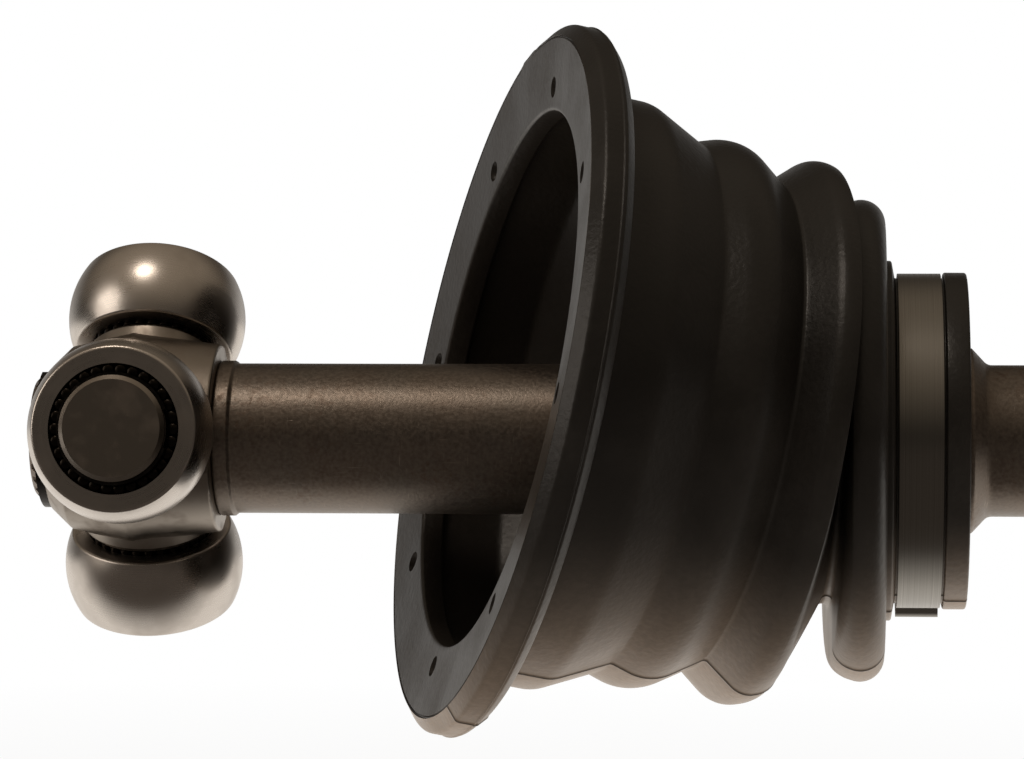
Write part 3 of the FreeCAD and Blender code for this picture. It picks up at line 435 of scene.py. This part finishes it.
def heat_treated_bar(colours):
    """Induction-hardened bar: a dark oxide skin with a fine grained texture, faint brown rust in patches, and
    short scratches round and along it."""
    material, tree, shader = new_material("induction_hardened_steel", 0.9, 0.4)
    skin = grain(tree, 9.0, 0.3, 0.7)
    fine = grain(tree, 0.7, 0.3, 0.7, 3.0)
    freckles = add(tree, "Math", {0: grain(tree, 1.3, 0.5, 0.66), 1: grain(tree, 14.0, 0.48, 0.7)},
                   operation="MULTIPLY").outputs[0]
    place = add(tree, "TexCoord").outputs["Object"]
    across = add(tree, "Mapping", {"Vector": place, "Scale": (1.0, 0.12, 0.12)}).outputs[0]
    along = add(tree, "Mapping", {"Vector": place, "Scale": (0.06, 1.0, 1.0)}).outputs[0]
    both = add(tree, "Math", {0: grain(tree, 0.45, 0.66, 0.74, 2.0, across),
                              1: grain(tree, 0.4, 0.69, 0.76, 2.0, along)}, operation="MAXIMUM").outputs[0]
    scratches = add(tree, "Math", {0: both, 1: grain(tree, 11.0)}, operation="MULTIPLY").outputs[0]
    colour = coated(
        tree, colours.bar, (skin, 1.0, colour_from_hex("#6d6259")), (fine, 0.35, colour_from_hex("#a0958a")),
        (freckles, 0.45, colours.rust), (scratches, 0.3, colour_from_hex("#b3a89b")))
    dull = add(tree, "Math", {0: fine, 1: 0.6}, operation="MULTIPLY").outputs[0]
    worn = add(tree, "Math", {0: freckles, 1: dull}, operation="MAXIMUM").outputs[0]
    height = add(tree, "Math", {0: fine, 1: scratches}, operation="SUBTRACT").outputs[0]
    dress(tree, shader, colour, worn, (0.3, 0.55), height, 0.03, 0.55)
    return material


def machined_forging(colours):
    """Forged hub, machined all over: coarse turning marks under a thin film of oil and a little rust."""
    material, tree, shader = new_material("machined_forging", 1.0, 0.35)
    patches = grain(tree, 4.0, 0.5, 0.7)
    marks = turned_marks(tree, (1.0, 0.0, 0.0), 0.5)
    colour = coated(tree, colours.hub, (patches, 0.2, colours.rust))
    dress(tree, shader, colour, patches, (0.34, 0.48), marks, 0.012, 0.6)
    return material


def phosphated_forging(colours):
    """Phosphated bell with a bare, turned stub: dark crystalline grey up to the shoulder, bright steel past
    it."""
    material, tree, shader = new_material("phosphated_forging", 0.7, 0.5)
    place = add(tree, "TexCoord").outputs["Object"]
    x = add(tree, "SeparateXYZ", {0: place}).outputs["X"]
    bare = add(tree, "MapRange", {
        "Value": x, "From Min": (SHOULDER_X - 0.5) * MM, "From Max": (SHOULDER_X + 0.5) * MM}).outputs[0]
    marks = turned_marks(tree, (1.0, 0.0, 0.0), 0.4)
    dark = coated(tree, colours.housing, (grain(tree, 0.7, 0.35, 0.65), 1.0, colour_from_hex("#45423d")))
    bright = coated(tree, colours.machined, (marks, 1.0, colour_from_hex("#6f6a64")))
    height = add(tree, "Math", {0: marks, 1: bare}, operation="MULTIPLY").outputs[0]
    dress(tree, shader, coated(tree, dark, (bare, 1.0, bright)), bare, (0.55, 0.3), height, 0.015, 0.6)
    return material


def spring_steel(name, colour, second):
    """Oil-blackened or bright spring steel: patchy finish with small pits."""
    material, tree, shader = new_material(name, 0.9, 0.4)
    patches = grain(tree, 1.5, 0.35, 0.7)
    patched = coated(tree, colour_from_hex(colour), (patches, 1.0, colour_from_hex(second)))
    dress(tree, shader, patched, patches, (0.32, 0.5), patches, 0.01)
    return material


def stainless_band(colours):
    """Cold-rolled stainless band: bright, brushed along its length."""
    material, tree, shader = new_material("stainless_band", 1.0, 0.3)
    marks = turned_marks(tree, (1.0, 0.0, 0.0), 0.25)
    brushed = coated(tree, colours.clamp, (marks, 1.0, colour_from_hex("#7d7a75")))
    dress(tree, shader, brushed, marks, (0.22, 0.4), marks, 0.01, 0.5)
    return material


def finish_nodes(material, *names):
    """Give CAD nodes their finish."""
    for name in names:
        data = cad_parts[name].data
        data.materials.clear()
        data.materials.append(material)


# The pieces and the stage, one operator each
class GearboxBoot(bpy.types.Operator):
    """Mould the gearbox-side boot: collar, folds, cone and rim, as five walls that meet at their edges."""
    bl_idname = "drive_shaft.gearbox_boot"
    bl_label = "Gearbox-side boot"

    def execute(self, context):
        sizes = context.scene.drive_shaft_boot
        colours = context.scene.drive_shaft_finishes
        rubber = moulded_rubber(colours)
        outside = belt_of(BOOT_CHAIN, 0.0)
        inside = belt_of(BOOT_CHAIN, WALL)
        away = np.array([0.1, 0.2, 0.3, 0.45, 0.7, 1.1, 1.6])
        near = np.concatenate([-away[::-1], [0.0], away]) / 50.0
        lines = ([math.radians(d) - LEAN for d in MOULD_LINES_DEG], near)
        turn = turns_for(lines)
        made = []
        groove_to = BOOT_X - BEARING_X
        end = rounded_path([
            (groove_to - 9.4, 25.4), (groove_to - 8.4, 25.4, 0.5), (groove_to - 8.4, 31.9, 0.5),
            (groove_to - 4.0, 31.9, 0.4), (groove_to - 4.0, 30.8, 0.15), (groove_to + 5.1, 30.8, 0.15),
            (groove_to + 5.7, 34.1, 0.4), (groove_to + 6.0, 34.1),
        ])[1:-1]
        collar_out = np.concatenate([end, clipped(outside, groove_to + 6.2, BEND_FROM)])
        pocket = rounded_path([
            (groove_to - 8.4, 25.4), (groove_to - 6.6, 25.4, 0.4), (groove_to - 6.6, 27.55, 0.1),
            (groove_to + 6.6, 27.55, 0.1), (groove_to + 6.6, 25.4, 0.4), (groove_to + 9.7, 25.4, 0.6),
            (groove_to + 9.7, 33.0, 0.3), (groove_to + 10.1, 40.0),
        ])[1:-1]
        collar_in = np.concatenate([pocket, clipped(inside, groove_to + 10.1, BEND_FROM)])
        made.append((boot_skin("boot_collar_rubber", collar_out, collar_in, turn, sizes), "boot_collar",
                     "boot_end", "boot_middle"))
        for name, node, low, high, bodies in (
                ("boot_bend_rubber", "boot_bend_pleat", BEND_FROM, BEND_TO, ("boot_end", "boot_middle")),
                ("boot_fold_rubber", "boot_middle_fold", BEND_TO, PLUNGE_FROM, ("boot_end", "boot_middle")),
                ("boot_plunge_rubber", "boot_plunge_pleat", PLUNGE_FROM, PLUNGE_TO,
                 ("boot_middle", "boot_gearbox_end"))):
            wall = boot_skin(name, clipped(outside, low, high), clipped(inside, low, high), turn, sizes)
            made.append((wall, node, *bodies))
        made.append((self.mouth(outside, inside, lines, sizes), "boot_mouth", "boot_gearbox_end"))
        at = boot_axis(np.array([BEND_FROM, BEND_TO, PLUNGE_FROM, PLUNGE_TO]))[0] * MM
        ahead = (at[1] - at[0]) / np.linalg.norm(at[1] - at[0]) * MM
        spans = {"boot_end": (at[0] + STRETCH_FROM * ahead, at[0] + STRETCH_TO * ahead),
                 "boot_middle": (at[2], at[3])}
        for piece, node, *bodies in made:
            piece.data.materials.append(rubber)
            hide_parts(node)
            if len(bodies) == 1:
                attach(piece, bodies[0])
            else:
                start, end = spans[bodies[0]]
                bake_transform(piece)
        return {"FINISHED"}

    def mouth(self, outside, inside, lines, sizes):
        """Fold, cone and rim. In the rim's dished face each pin mark is a round pit: squares of the grid
        about its centre are pushed onto circles, and inside the pit's circle the face drops by its depth."""
        level = np.array([-1.0, -0.87, -0.76, -0.68, -0.625, -0.6, -0.5, -0.25, 0.0])
        level = np.concatenate([level, -level[-2::-1]])
        reach = PIN_R / 0.625
        back = rounded_path([
            (RIM_BACK - 2.3, 56.2), (RIM_BACK + 1.0, 55.8, 0.6), (RIM_BACK, 58.2, 0.5),
            (RIM_BACK, RIM_R - 2.0, 0.8), (RIM_BACK + 1.9, RIM_R, 0.8), (RIM_BACK + 2.3, RIM_R, 0.1),
            (RIM_BACK + 2.45, RIM_R + 0.25, 0.08), (RIM_BACK + 2.7, RIM_R, 0.1),
            (RIM_FRONT - 1.9, RIM_R, 1.2), (RIM_FRONT, FACE_R + 0.3, 0.5), (RIM_FRONT + 0.5, FACE_R - 0.1),
        ])[1:-1]
        dish = np.concatenate([[FACE_R - 0.3], np.arange(63.0, PIN_CIRCLE + reach + 0.2, -0.9),
                               PIN_CIRCLE - level * reach, [51.7]])
        share = (FACE_R - dish) / (FACE_R - MOUTH_R)
        dish = np.stack([RIM_FRONT - SET_BACK * share, dish], 1)
        front = RIM_FRONT - SET_BACK
        lip = rounded_path([
            (front + 0.1, 52.0), (front, MOUTH_R, 0.6), (front - 4.4, MOUTH_R, 0.6), (front - 4.4, 53.7, 0.8),
            (RIM_BACK - 2.3, 53.4),
        ])[1:-1]
        skin = np.concatenate([
            clipped(outside, PLUNGE_TO, RIM_BACK - 0.1), filled(back, 1.2),
            [[RIM_FRONT, FACE_R + 0.28], [RIM_FRONT - 0.42, FACE_R + 0.06],
             [RIM_FRONT - 0.42, FACE_R - 0.06]],
            dish, lip, clipped(inside, PLUNGE_TO, RIM_BACK - 2.3)[::-1],
        ])
        pins = [(math.radians(PIN_TURN + 360.0 / PIN_COUNT * k) - LEAN, level * reach / PIN_CIRCLE)
                for k in range(PIN_COUNT)]
        turn = turns_for(lines, pins)
        s = skin[:, :1] + 0.0 * turn
        r = skin[:, 1:] + 0.0 * turn
        turn = turn + 0.0 * s
        outer_rows = len(clipped(outside, PLUNGE_TO, RIM_BACK - 0.1)) + len(filled(back, 1.2))
        outer = (np.arange(len(skin)) < outer_rows)[:, None]
        line = lines_near(turn, r, sizes.flash_width / MM) * outer
        nub_turn = (turn - lines[0][1] + math.pi) % (2.0 * math.pi) - math.pi
        nub = np.exp(-(nub_turn * r / 1.6) ** 2 - ((s - RIM_FRONT + 2.0) / 1.6) ** 2) * outer
        wave = ripple(bent(s, r, turn)) * sizes.orange_peel / MM
        r = r + outer * (line * sizes.flash_height / MM + wave + nub * sizes.nub_height / MM)
        on_face = ((skin[:, 0] > front - 0.2) & (skin[:, 1] < FACE_R) & (skin[:, 1] > 51.6))[:, None]
        for centre, offsets in pins:
            away = (turn - centre + math.pi) % (2.0 * math.pi) - math.pi
            u, v = away * PIN_CIRCLE / reach, (r - PIN_CIRCLE) / reach
            square, round_ = np.maximum(abs(u), abs(v)), np.hypot(u, v) + 1e-9
            inside_patch = on_face & (square < 0.999)
            ease = np.clip((1.0 - square) / 0.3, 0.0, 1.0)
            factor = 1.0 + (square / round_ - 1.0) * ease
            pit = np.clip((0.62 - square) / 0.03, 0.0, 1.0)
            r = np.where(inside_patch, PIN_CIRCLE + v * factor * reach, r)
            turn = np.where(inside_patch, centre + u * factor * reach / PIN_CIRCLE, turn)
            face = RIM_FRONT - SET_BACK * (FACE_R - r) / (FACE_R - MOUTH_R)
            s = np.where(inside_patch, face - pit * PIN_DEPTH, s)
        # bloom attribute: painted light from below where the outside faces down, a thin even bloom inside
        return put_mesh("boot_mouth_rubber", bent(s, r, turn),
                        [("mould_line", line), ("bloom", bloom_and_painted_underlight_at(s, turn, ~outer))])


class WheelBoot(bpy.types.Operator):
    """Mould the wheel-side boot: small end, bellows and big end."""
    bl_idname = "drive_shaft.wheel_boot"
    bl_label = "Wheel-side boot"

    def execute(self, context):
        elastomer = blown_elastomer(context.scene.drive_shaft_finishes)
        small, big = JOINT_X - 87.7, JOINT_X - 19.0
        step = (big - 7.0 - small) / 5.0
        chain = [(small, 16.96, 0.0, 1)]
        for i in range(5):
            crest = 22.0 + 20.5 * i / 4.0
            chain += [(small + step * (i + 0.5), crest, 2.4, 1)]
            chain += [(small + step * (i + 1.0), crest - 5.0, 0.9, -1)]
        chain += [(big - 1.8, 45.25, 1.8, 1), (big, 45.25, 0.0, 1)]
        turn = np.linspace(0.0, 2.0 * math.pi, 200, endpoint=False)
        wall = 1.6
        bellows = np.concatenate([belt_of(chain, 0.0), belt_of(chain, wall)[::-1]])
        from_x, to_x = JOINT_X - 100.0, JOINT_X - 88.0
        cuff = rounded_path([
            (to_x, 15.5), (to_x, 16.96, 0.4), (to_x - 2.0, 16.96, 0.3), (to_x - 2.3, 16.7, 0.2),
            (from_x + 2.3, 16.7, 0.2), (from_x + 2.0, 16.96, 0.3), (from_x, 16.96, 0.6),
            (from_x, 14.41, 0.3), (from_x + 1.0, 13.61, 0.2), (to_x - 1.0, 13.61, 0.2),
            (to_x, 14.41, 0.3), (to_x, 15.5),
        ])[:-1]
        start, end = JOINT_X - 19.0, JOINT_X - 5.5
        bell = rounded_path([
            (start, 44.0), (start, 45.25, 0.6), (end, 45.25, 0.6), (end, 41.55, 0.4),
            (JOINT_X - 17.2, 41.55, 0.2), (JOINT_X - 17.4, 42.45, 0.2), (start, 42.45, 0.2), (start, 44.0),
        ])[:-1]
        for name, node, section, bodies in (
                ("outer_boot_cuff", "outer_boot_small_end", cuff, ("shaft",)),
                ("outer_boot_bellows", "outer_boot_pleats", bellows, ("shaft", "wheel_joint")),
                ("outer_boot_collar", "outer_boot_big_end", bell, ("wheel_joint",))):
            section = filled(section, 1.2) if len(bodies) == 1 else section
            x, around = section[:, :1] + 0.0 * turn[None], turn[None] + 0.0 * section[:, :1]
            piece = put_mesh(name, straight(x, section[:, 1:] + 0.0 * around, around))
            piece.data.materials.append(elastomer)
            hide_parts(node)
            if len(bodies) == 1:
                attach(piece, bodies[0])
            else:
                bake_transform(piece)
        return {"FINISHED"}


class Needles(bpy.types.Operator):
    """Fill each roller with its needles: round bars with domed ends in a ring about the trunnion."""
    bl_idname = "drive_shaft.needles"
    bl_label = "Needle rollers"

    def execute(self, context):
        dome = np.radians([15.0, 35.0, 55.0, 75.0, 90.0])
        crown = 0.45
        along = NEEDLE_FROM + crown * (1.0 - np.cos(dome))
        along = np.concatenate([along, NEEDLE_FROM + NEEDLE_TO - along[::-1]])
        radius = NEEDLE_R * np.sin(np.concatenate([dome, dome[::-1]]))
        ring = np.linspace(0.0, 2.0 * math.pi, 14, endpoint=False)
        seat = np.linspace(0.0, 2.0 * math.pi, NEEDLE_COUNT, endpoint=False)[:, None, None]
        shape = (NEEDLE_COUNT, len(along), len(ring))
        points = np.stack(np.broadcast_arrays(
            NEEDLE_CIRCLE_R * np.cos(seat) + radius[:, None] * np.cos(ring),
            NEEDLE_CIRCLE_R * np.sin(seat) + radius[:, None] * np.sin(ring),
            along[:, None] + np.zeros(shape)), -1).reshape(-1, 3)
        index = np.arange(len(points)).reshape(shape)
        beside = np.roll(index, -1, 2)
        quads = np.stack([index[:, :-1], beside[:, :-1], beside[:, 1:], index[:, 1:]], -1).reshape(-1, 4)
        for i in range(3):
            angle = math.radians(TRUNNION_DEG + 120.0 * i)
            turned = points @ np.array([
                [1.0, 0.0, 0.0], [0.0, math.cos(angle), math.sin(angle)],
                [0.0, -math.sin(angle), math.cos(angle)]])
            caps = [index[:, 0, ::-1], index[:, -1]]
            made = make_object("needles_%d_steel" % (i + 1), turned, [quads, *caps])
            # Near-black steel: partly the oil on the needles, partly painted shade deep in the bore between
            # trunnion and roller
            made.data.materials.append(ground_steel(
                "oiled_and_shade_painted_needle_steel_%d" % (i + 1), colour_from_hex("#25211d"),
                (0.0, -math.sin(angle), math.cos(angle)), "#171411"))
            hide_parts("needle_rollers_%d" % (i + 1))
            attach(made, "needles_%d" % (i + 1))
        return {"FINISHED"}


class Metalwork(bpy.types.Operator):
    """Give the steel parts their finishes."""
    bl_idname = "drive_shaft.metalwork"
    bl_label = "Steel parts"

    def execute(self, context):
        colours = context.scene.drive_shaft_finishes
        finish_nodes(heat_treated_bar(colours), "drive_shaft_bar")
        finish_nodes(machined_forging(colours), "spider")
        for i in range(3):
            angle = math.radians(TRUNNION_DEG + 120.0 * i)
            axis = (0.0, -math.sin(angle), math.cos(angle))
            finish_nodes(ground_steel("lapped_roller_steel_%d" % (i + 1), colours.roller, axis),
                         "tripod_roller_%d" % (i + 1))
        blackened = spring_steel("blackened_spring_steel", "#191715", "#2a2623")
        finish_nodes(blackened, "needle_clip_1", "needle_clip_2", "needle_clip_3", "spider_circlip",
                     "bearing_circlip", "joint_circlip")
        washer = spring_steel("hardened_washer_steel", "#4d4741", "#38332e")
        finish_nodes(washer, "trunnion_washer_1", "trunnion_washer_2", "trunnion_washer_3",
                     "boot_insert_ring")
        bearing = ground_steel("bearing_steel", colours.machined, (1.0, 0.0, 0.0))
        finish_nodes(bearing, "bearing_inner_ring", "bearing_outer_ring", "bearing_balls", "joint_inner_race",
                     "joint_balls")
        finish_nodes(spring_steel("pressed_cage_steel", "#7b756c", "#5e5951"), "bearing_cage", "joint_cage")
        finish_nodes(seal_rubber(), "bearing_seal_gearbox_side", "bearing_seal_wheel_side")
        finish_nodes(phosphated_forging(colours), "joint_housing")
        finish_nodes(stainless_band(colours), "boot_clamp", "outer_boot_small_clamp", "outer_boot_big_clamp")
        return {"FINISHED"}


class Stage(bpy.types.Operator):
    """Set the pale floor, the room round it, the soft lights and the camera."""
    bl_idname = "drive_shaft.stage"
    bl_label = "Stage"

    def execute(self, context):
        scene = context.scene
        scene.view_settings.view_transform = "Standard"
        colours = scene.drive_shaft_finishes
        low = -SWEEP_R * MM
        mesh = bpy.data.meshes.new("floor")
        mesh.from_pydata([(-4, -4, low), (4, -4, low), (4, 4, low), (-4, 4, low)], [], [(0, 1, 2, 3)])
        mesh.materials.append(self.paper(colours.floor))
        floor = bpy.data.objects.new("floor", mesh)
        scene.collection.objects.link(floor)
        self.world(scene)
        for name, place, size, watts, colour in (
                ("over", (-0.15, -0.3, 0.8), 0.26, 1.0, "#fff1e2"),
                ("gearbox_side", (-0.9, -0.45, 0.35), 0.7, 2.0, "#fff4e8")):
            lamp = bpy.data.lights.new(name, "AREA")
            lamp.shape = "DISK"
            lamp.size = size
            lamp.energy = watts
            lamp.color = colour_from_hex(colour)[:3]
            made = bpy.data.objects.new(name, lamp)
            made.location = place
            aim = Vector((0.1, 0.0, 0.0)) - Vector(place)
            made.rotation_euler = aim.to_track_quat("-Z", "Y").to_euler()
            scene.collection.objects.link(made)
        self.bench_light(scene, low)
        self.camera(scene)
        return {"FINISHED"}

    def bench_light(self, scene, low):
        """Soft light that the pale bench sends back up to the undersides."""
        lamp = bpy.data.lights.new("bench", "AREA")
        lamp.shape = "RECTANGLE"
        lamp.size, lamp.size_y = 0.9, 0.5
        lamp.energy = 1.25
        lamp.color = colour_from_hex("#fff3e6")[:3]
        made = bpy.data.objects.new("bench", lamp)
        made.location = (0.22, 0.05, low + 0.001)
        made.rotation_euler = (math.pi, 0.0, 0.0)
        made.visible_glossy = False
        scene.collection.objects.link(made)

    def paper(self, colour):
        """White paper floor. To the camera it is white away from the object and keeps a soft shadow near it;
        in what shines it is pale behind the object and brown in front of it."""
        paper = bpy.data.materials.new("white_paper")
        paper.use_nodes = True
        tree = paper.node_tree
        matt = tree.nodes["Principled BSDF"]
        matt.inputs["Base Color"].default_value = colour
        matt.inputs["Roughness"].default_value = 0.9
        place = add(tree, "TexCoord").outputs["Object"]
        away = add(tree, "VectorMath", {0: place}, operation="LENGTH").outputs["Value"]
        far = add(tree, "MapRange", {
            "Value": away, "From Min": 0.2, "From Max": 0.5, "To Min": 0.93, "To Max": 1.0}).outputs[0]
        path = add(tree, "LightPath").outputs
        seen = add(tree, "Math", {0: path["Is Camera Ray"], 1: path["Is Transmission Ray"]},
                   operation="MAXIMUM").outputs[0]
        seen = add(tree, "Math", {0: seen, 1: far}, operation="MULTIPLY").outputs[0]
        seen = add(tree, "Math", {0: seen, 1: path["Is Glossy Ray"]}, operation="MAXIMUM").outputs[0]
        y = add(tree, "SeparateXYZ", {0: place}).outputs["Y"]
        lit = add(tree, "MapRange", {"Value": y, "From Min": -0.035, "From Max": 0.02}).outputs[0]
        glow = coated(tree, colour_from_hex("#4d4640"), (lit, 1.0, colour_from_hex("#fcf6ee")))
        tint = coated(tree, WHITE, (path["Is Glossy Ray"], 1.0, glow))
        white = add(tree, "Emission", {"Color": tint, "Strength": 1.0})
        mixed = add(tree, "MixShader", {0: seen, 1: matt.outputs[0], 2: white.outputs[0]})
        tree.links.new(mixed.outputs[0], tree.nodes["Material Output"].inputs["Surface"])
        return paper

    def world(self, scene):
        """Room round the floor, white to the camera. The object has it dark brown in front, paler high up,
        and nearly white low down behind."""
        world = bpy.data.worlds.new("studio")
        world.use_nodes = True
        tree = world.node_tree
        room = tree.nodes["Background"]
        toward = add(tree, "SeparateXYZ", {0: add(tree, "TexCoord").outputs["Generated"]}).outputs
        behind = add(tree, "MapRange", {"Value": toward["Y"], "From Min": 0.4, "From Max": 0.9}).outputs[0]
        high = add(tree, "MapRange", {"Value": toward["Z"], "From Min": 0.1, "From Max": 0.8}).outputs[0]
        low = add(tree, "MapRange", {"Value": toward["Z"], "From Min": 0.42, "From Max": 0.1}).outputs[0]
        front = coated(tree, colour_from_hex("#2b2825"), (high, 1.0, colour_from_hex("#887c6d")))
        back = coated(tree, colour_from_hex("#3b352e"), (low, 1.0, colour_from_hex("#c0bdb9")))
        tree.links.new(coated(tree, front, (behind, 1.0, back)), room.inputs["Color"])
        room.inputs["Strength"].default_value = 1.0
        white = add(tree, "Background", {"Color": WHITE, "Strength": 1.0})
        path = add(tree, "LightPath").outputs
        seen = add(tree, "Math", {0: path["Is Camera Ray"], 1: path["Is Transmission Ray"]},
                   operation="MAXIMUM").outputs[0]
        mixed = add(tree, "MixShader", {0: seen, 1: room.outputs[0], 2: white.outputs[0]})
        tree.links.new(mixed.outputs[0], tree.nodes["World Output"].inputs["Surface"])
        scene.world = world

    def camera(self, scene):
        """Long lens at the photograph's place, nearly square to the bar."""
        focal_px, width_px, sensor_mm, distance = 4059.65, 1024.0, 36.0, 0.77598
        turn, tilt, roll = np.radians([4.30, 0.35, 0.13])
        ahead = np.array([-math.sin(turn) * math.cos(tilt), math.cos(turn) * math.cos(tilt), -math.sin(tilt)])
        right = np.array([math.cos(turn), math.sin(turn), 0.0])
        up = np.cross(right, ahead)
        rolled = math.cos(roll) * right + math.sin(roll) * up
        rolled_up = math.cos(roll) * up - math.sin(roll) * right
        data = bpy.data.cameras.new("camera")
        data.sensor_width = sensor_mm
        data.lens = focal_px * sensor_mm / width_px
        data.clip_start, data.clip_end = 0.01, 20.0
        made = bpy.data.objects.new("camera", data)
        place = np.array([0.0709, 0.0, 0.0114]) - distance * ahead
        basis = np.eye(4)
        basis[:3] = np.stack([rolled, rolled_up, -ahead, place], 1)
        made.matrix_world = Matrix(basis.tolist())
        scene.collection.objects.link(made)
        scene.camera = made


class DriveShaftPanel(bpy.types.Panel):
    """Sidebar list of the drive shaft's steps."""
    bl_idname = "VIEW3D_PT_drive_shaft"
    bl_label = "Drive shaft"
    bl_space_type = "VIEW_3D"
    bl_region_type = "UI"
    bl_category = "Drive shaft"

    def draw(self, context):
        for step in STEPS:
            self.layout.operator(step.bl_idname)
        for group in (context.scene.drive_shaft_boot, context.scene.drive_shaft_finishes):
            for key in group.__annotations__:
                self.layout.prop(group, key)


STEPS = (GearboxBoot, WheelBoot, Needles, Metalwork, Stage)
CLASSES = (BootSizes, Finishes, *STEPS, DriveShaftPanel)


def register():
    for kind in CLASSES:
        bpy.utils.register_class(kind)
    bpy.types.Scene.drive_shaft_boot = bpy.props.PointerProperty(type=BootSizes)
    bpy.types.Scene.drive_shaft_finishes = bpy.props.PointerProperty(type=Finishes)


def unregister():
    del bpy.types.Scene.drive_shaft_finishes
    del bpy.types.Scene.drive_shaft_boot
    for kind in reversed(CLASSES):
        bpy.utils.unregister_class(kind)


def main():
    register()
    bpy.ops.drive_shaft.gearbox_boot()
    bpy.ops.drive_shaft.wheel_boot()
    bpy.ops.drive_shaft.needles()
    bpy.ops.drive_shaft.metalwork()
    bpy.ops.drive_shaft.stage()


if __name__ == "__main__":
    main()
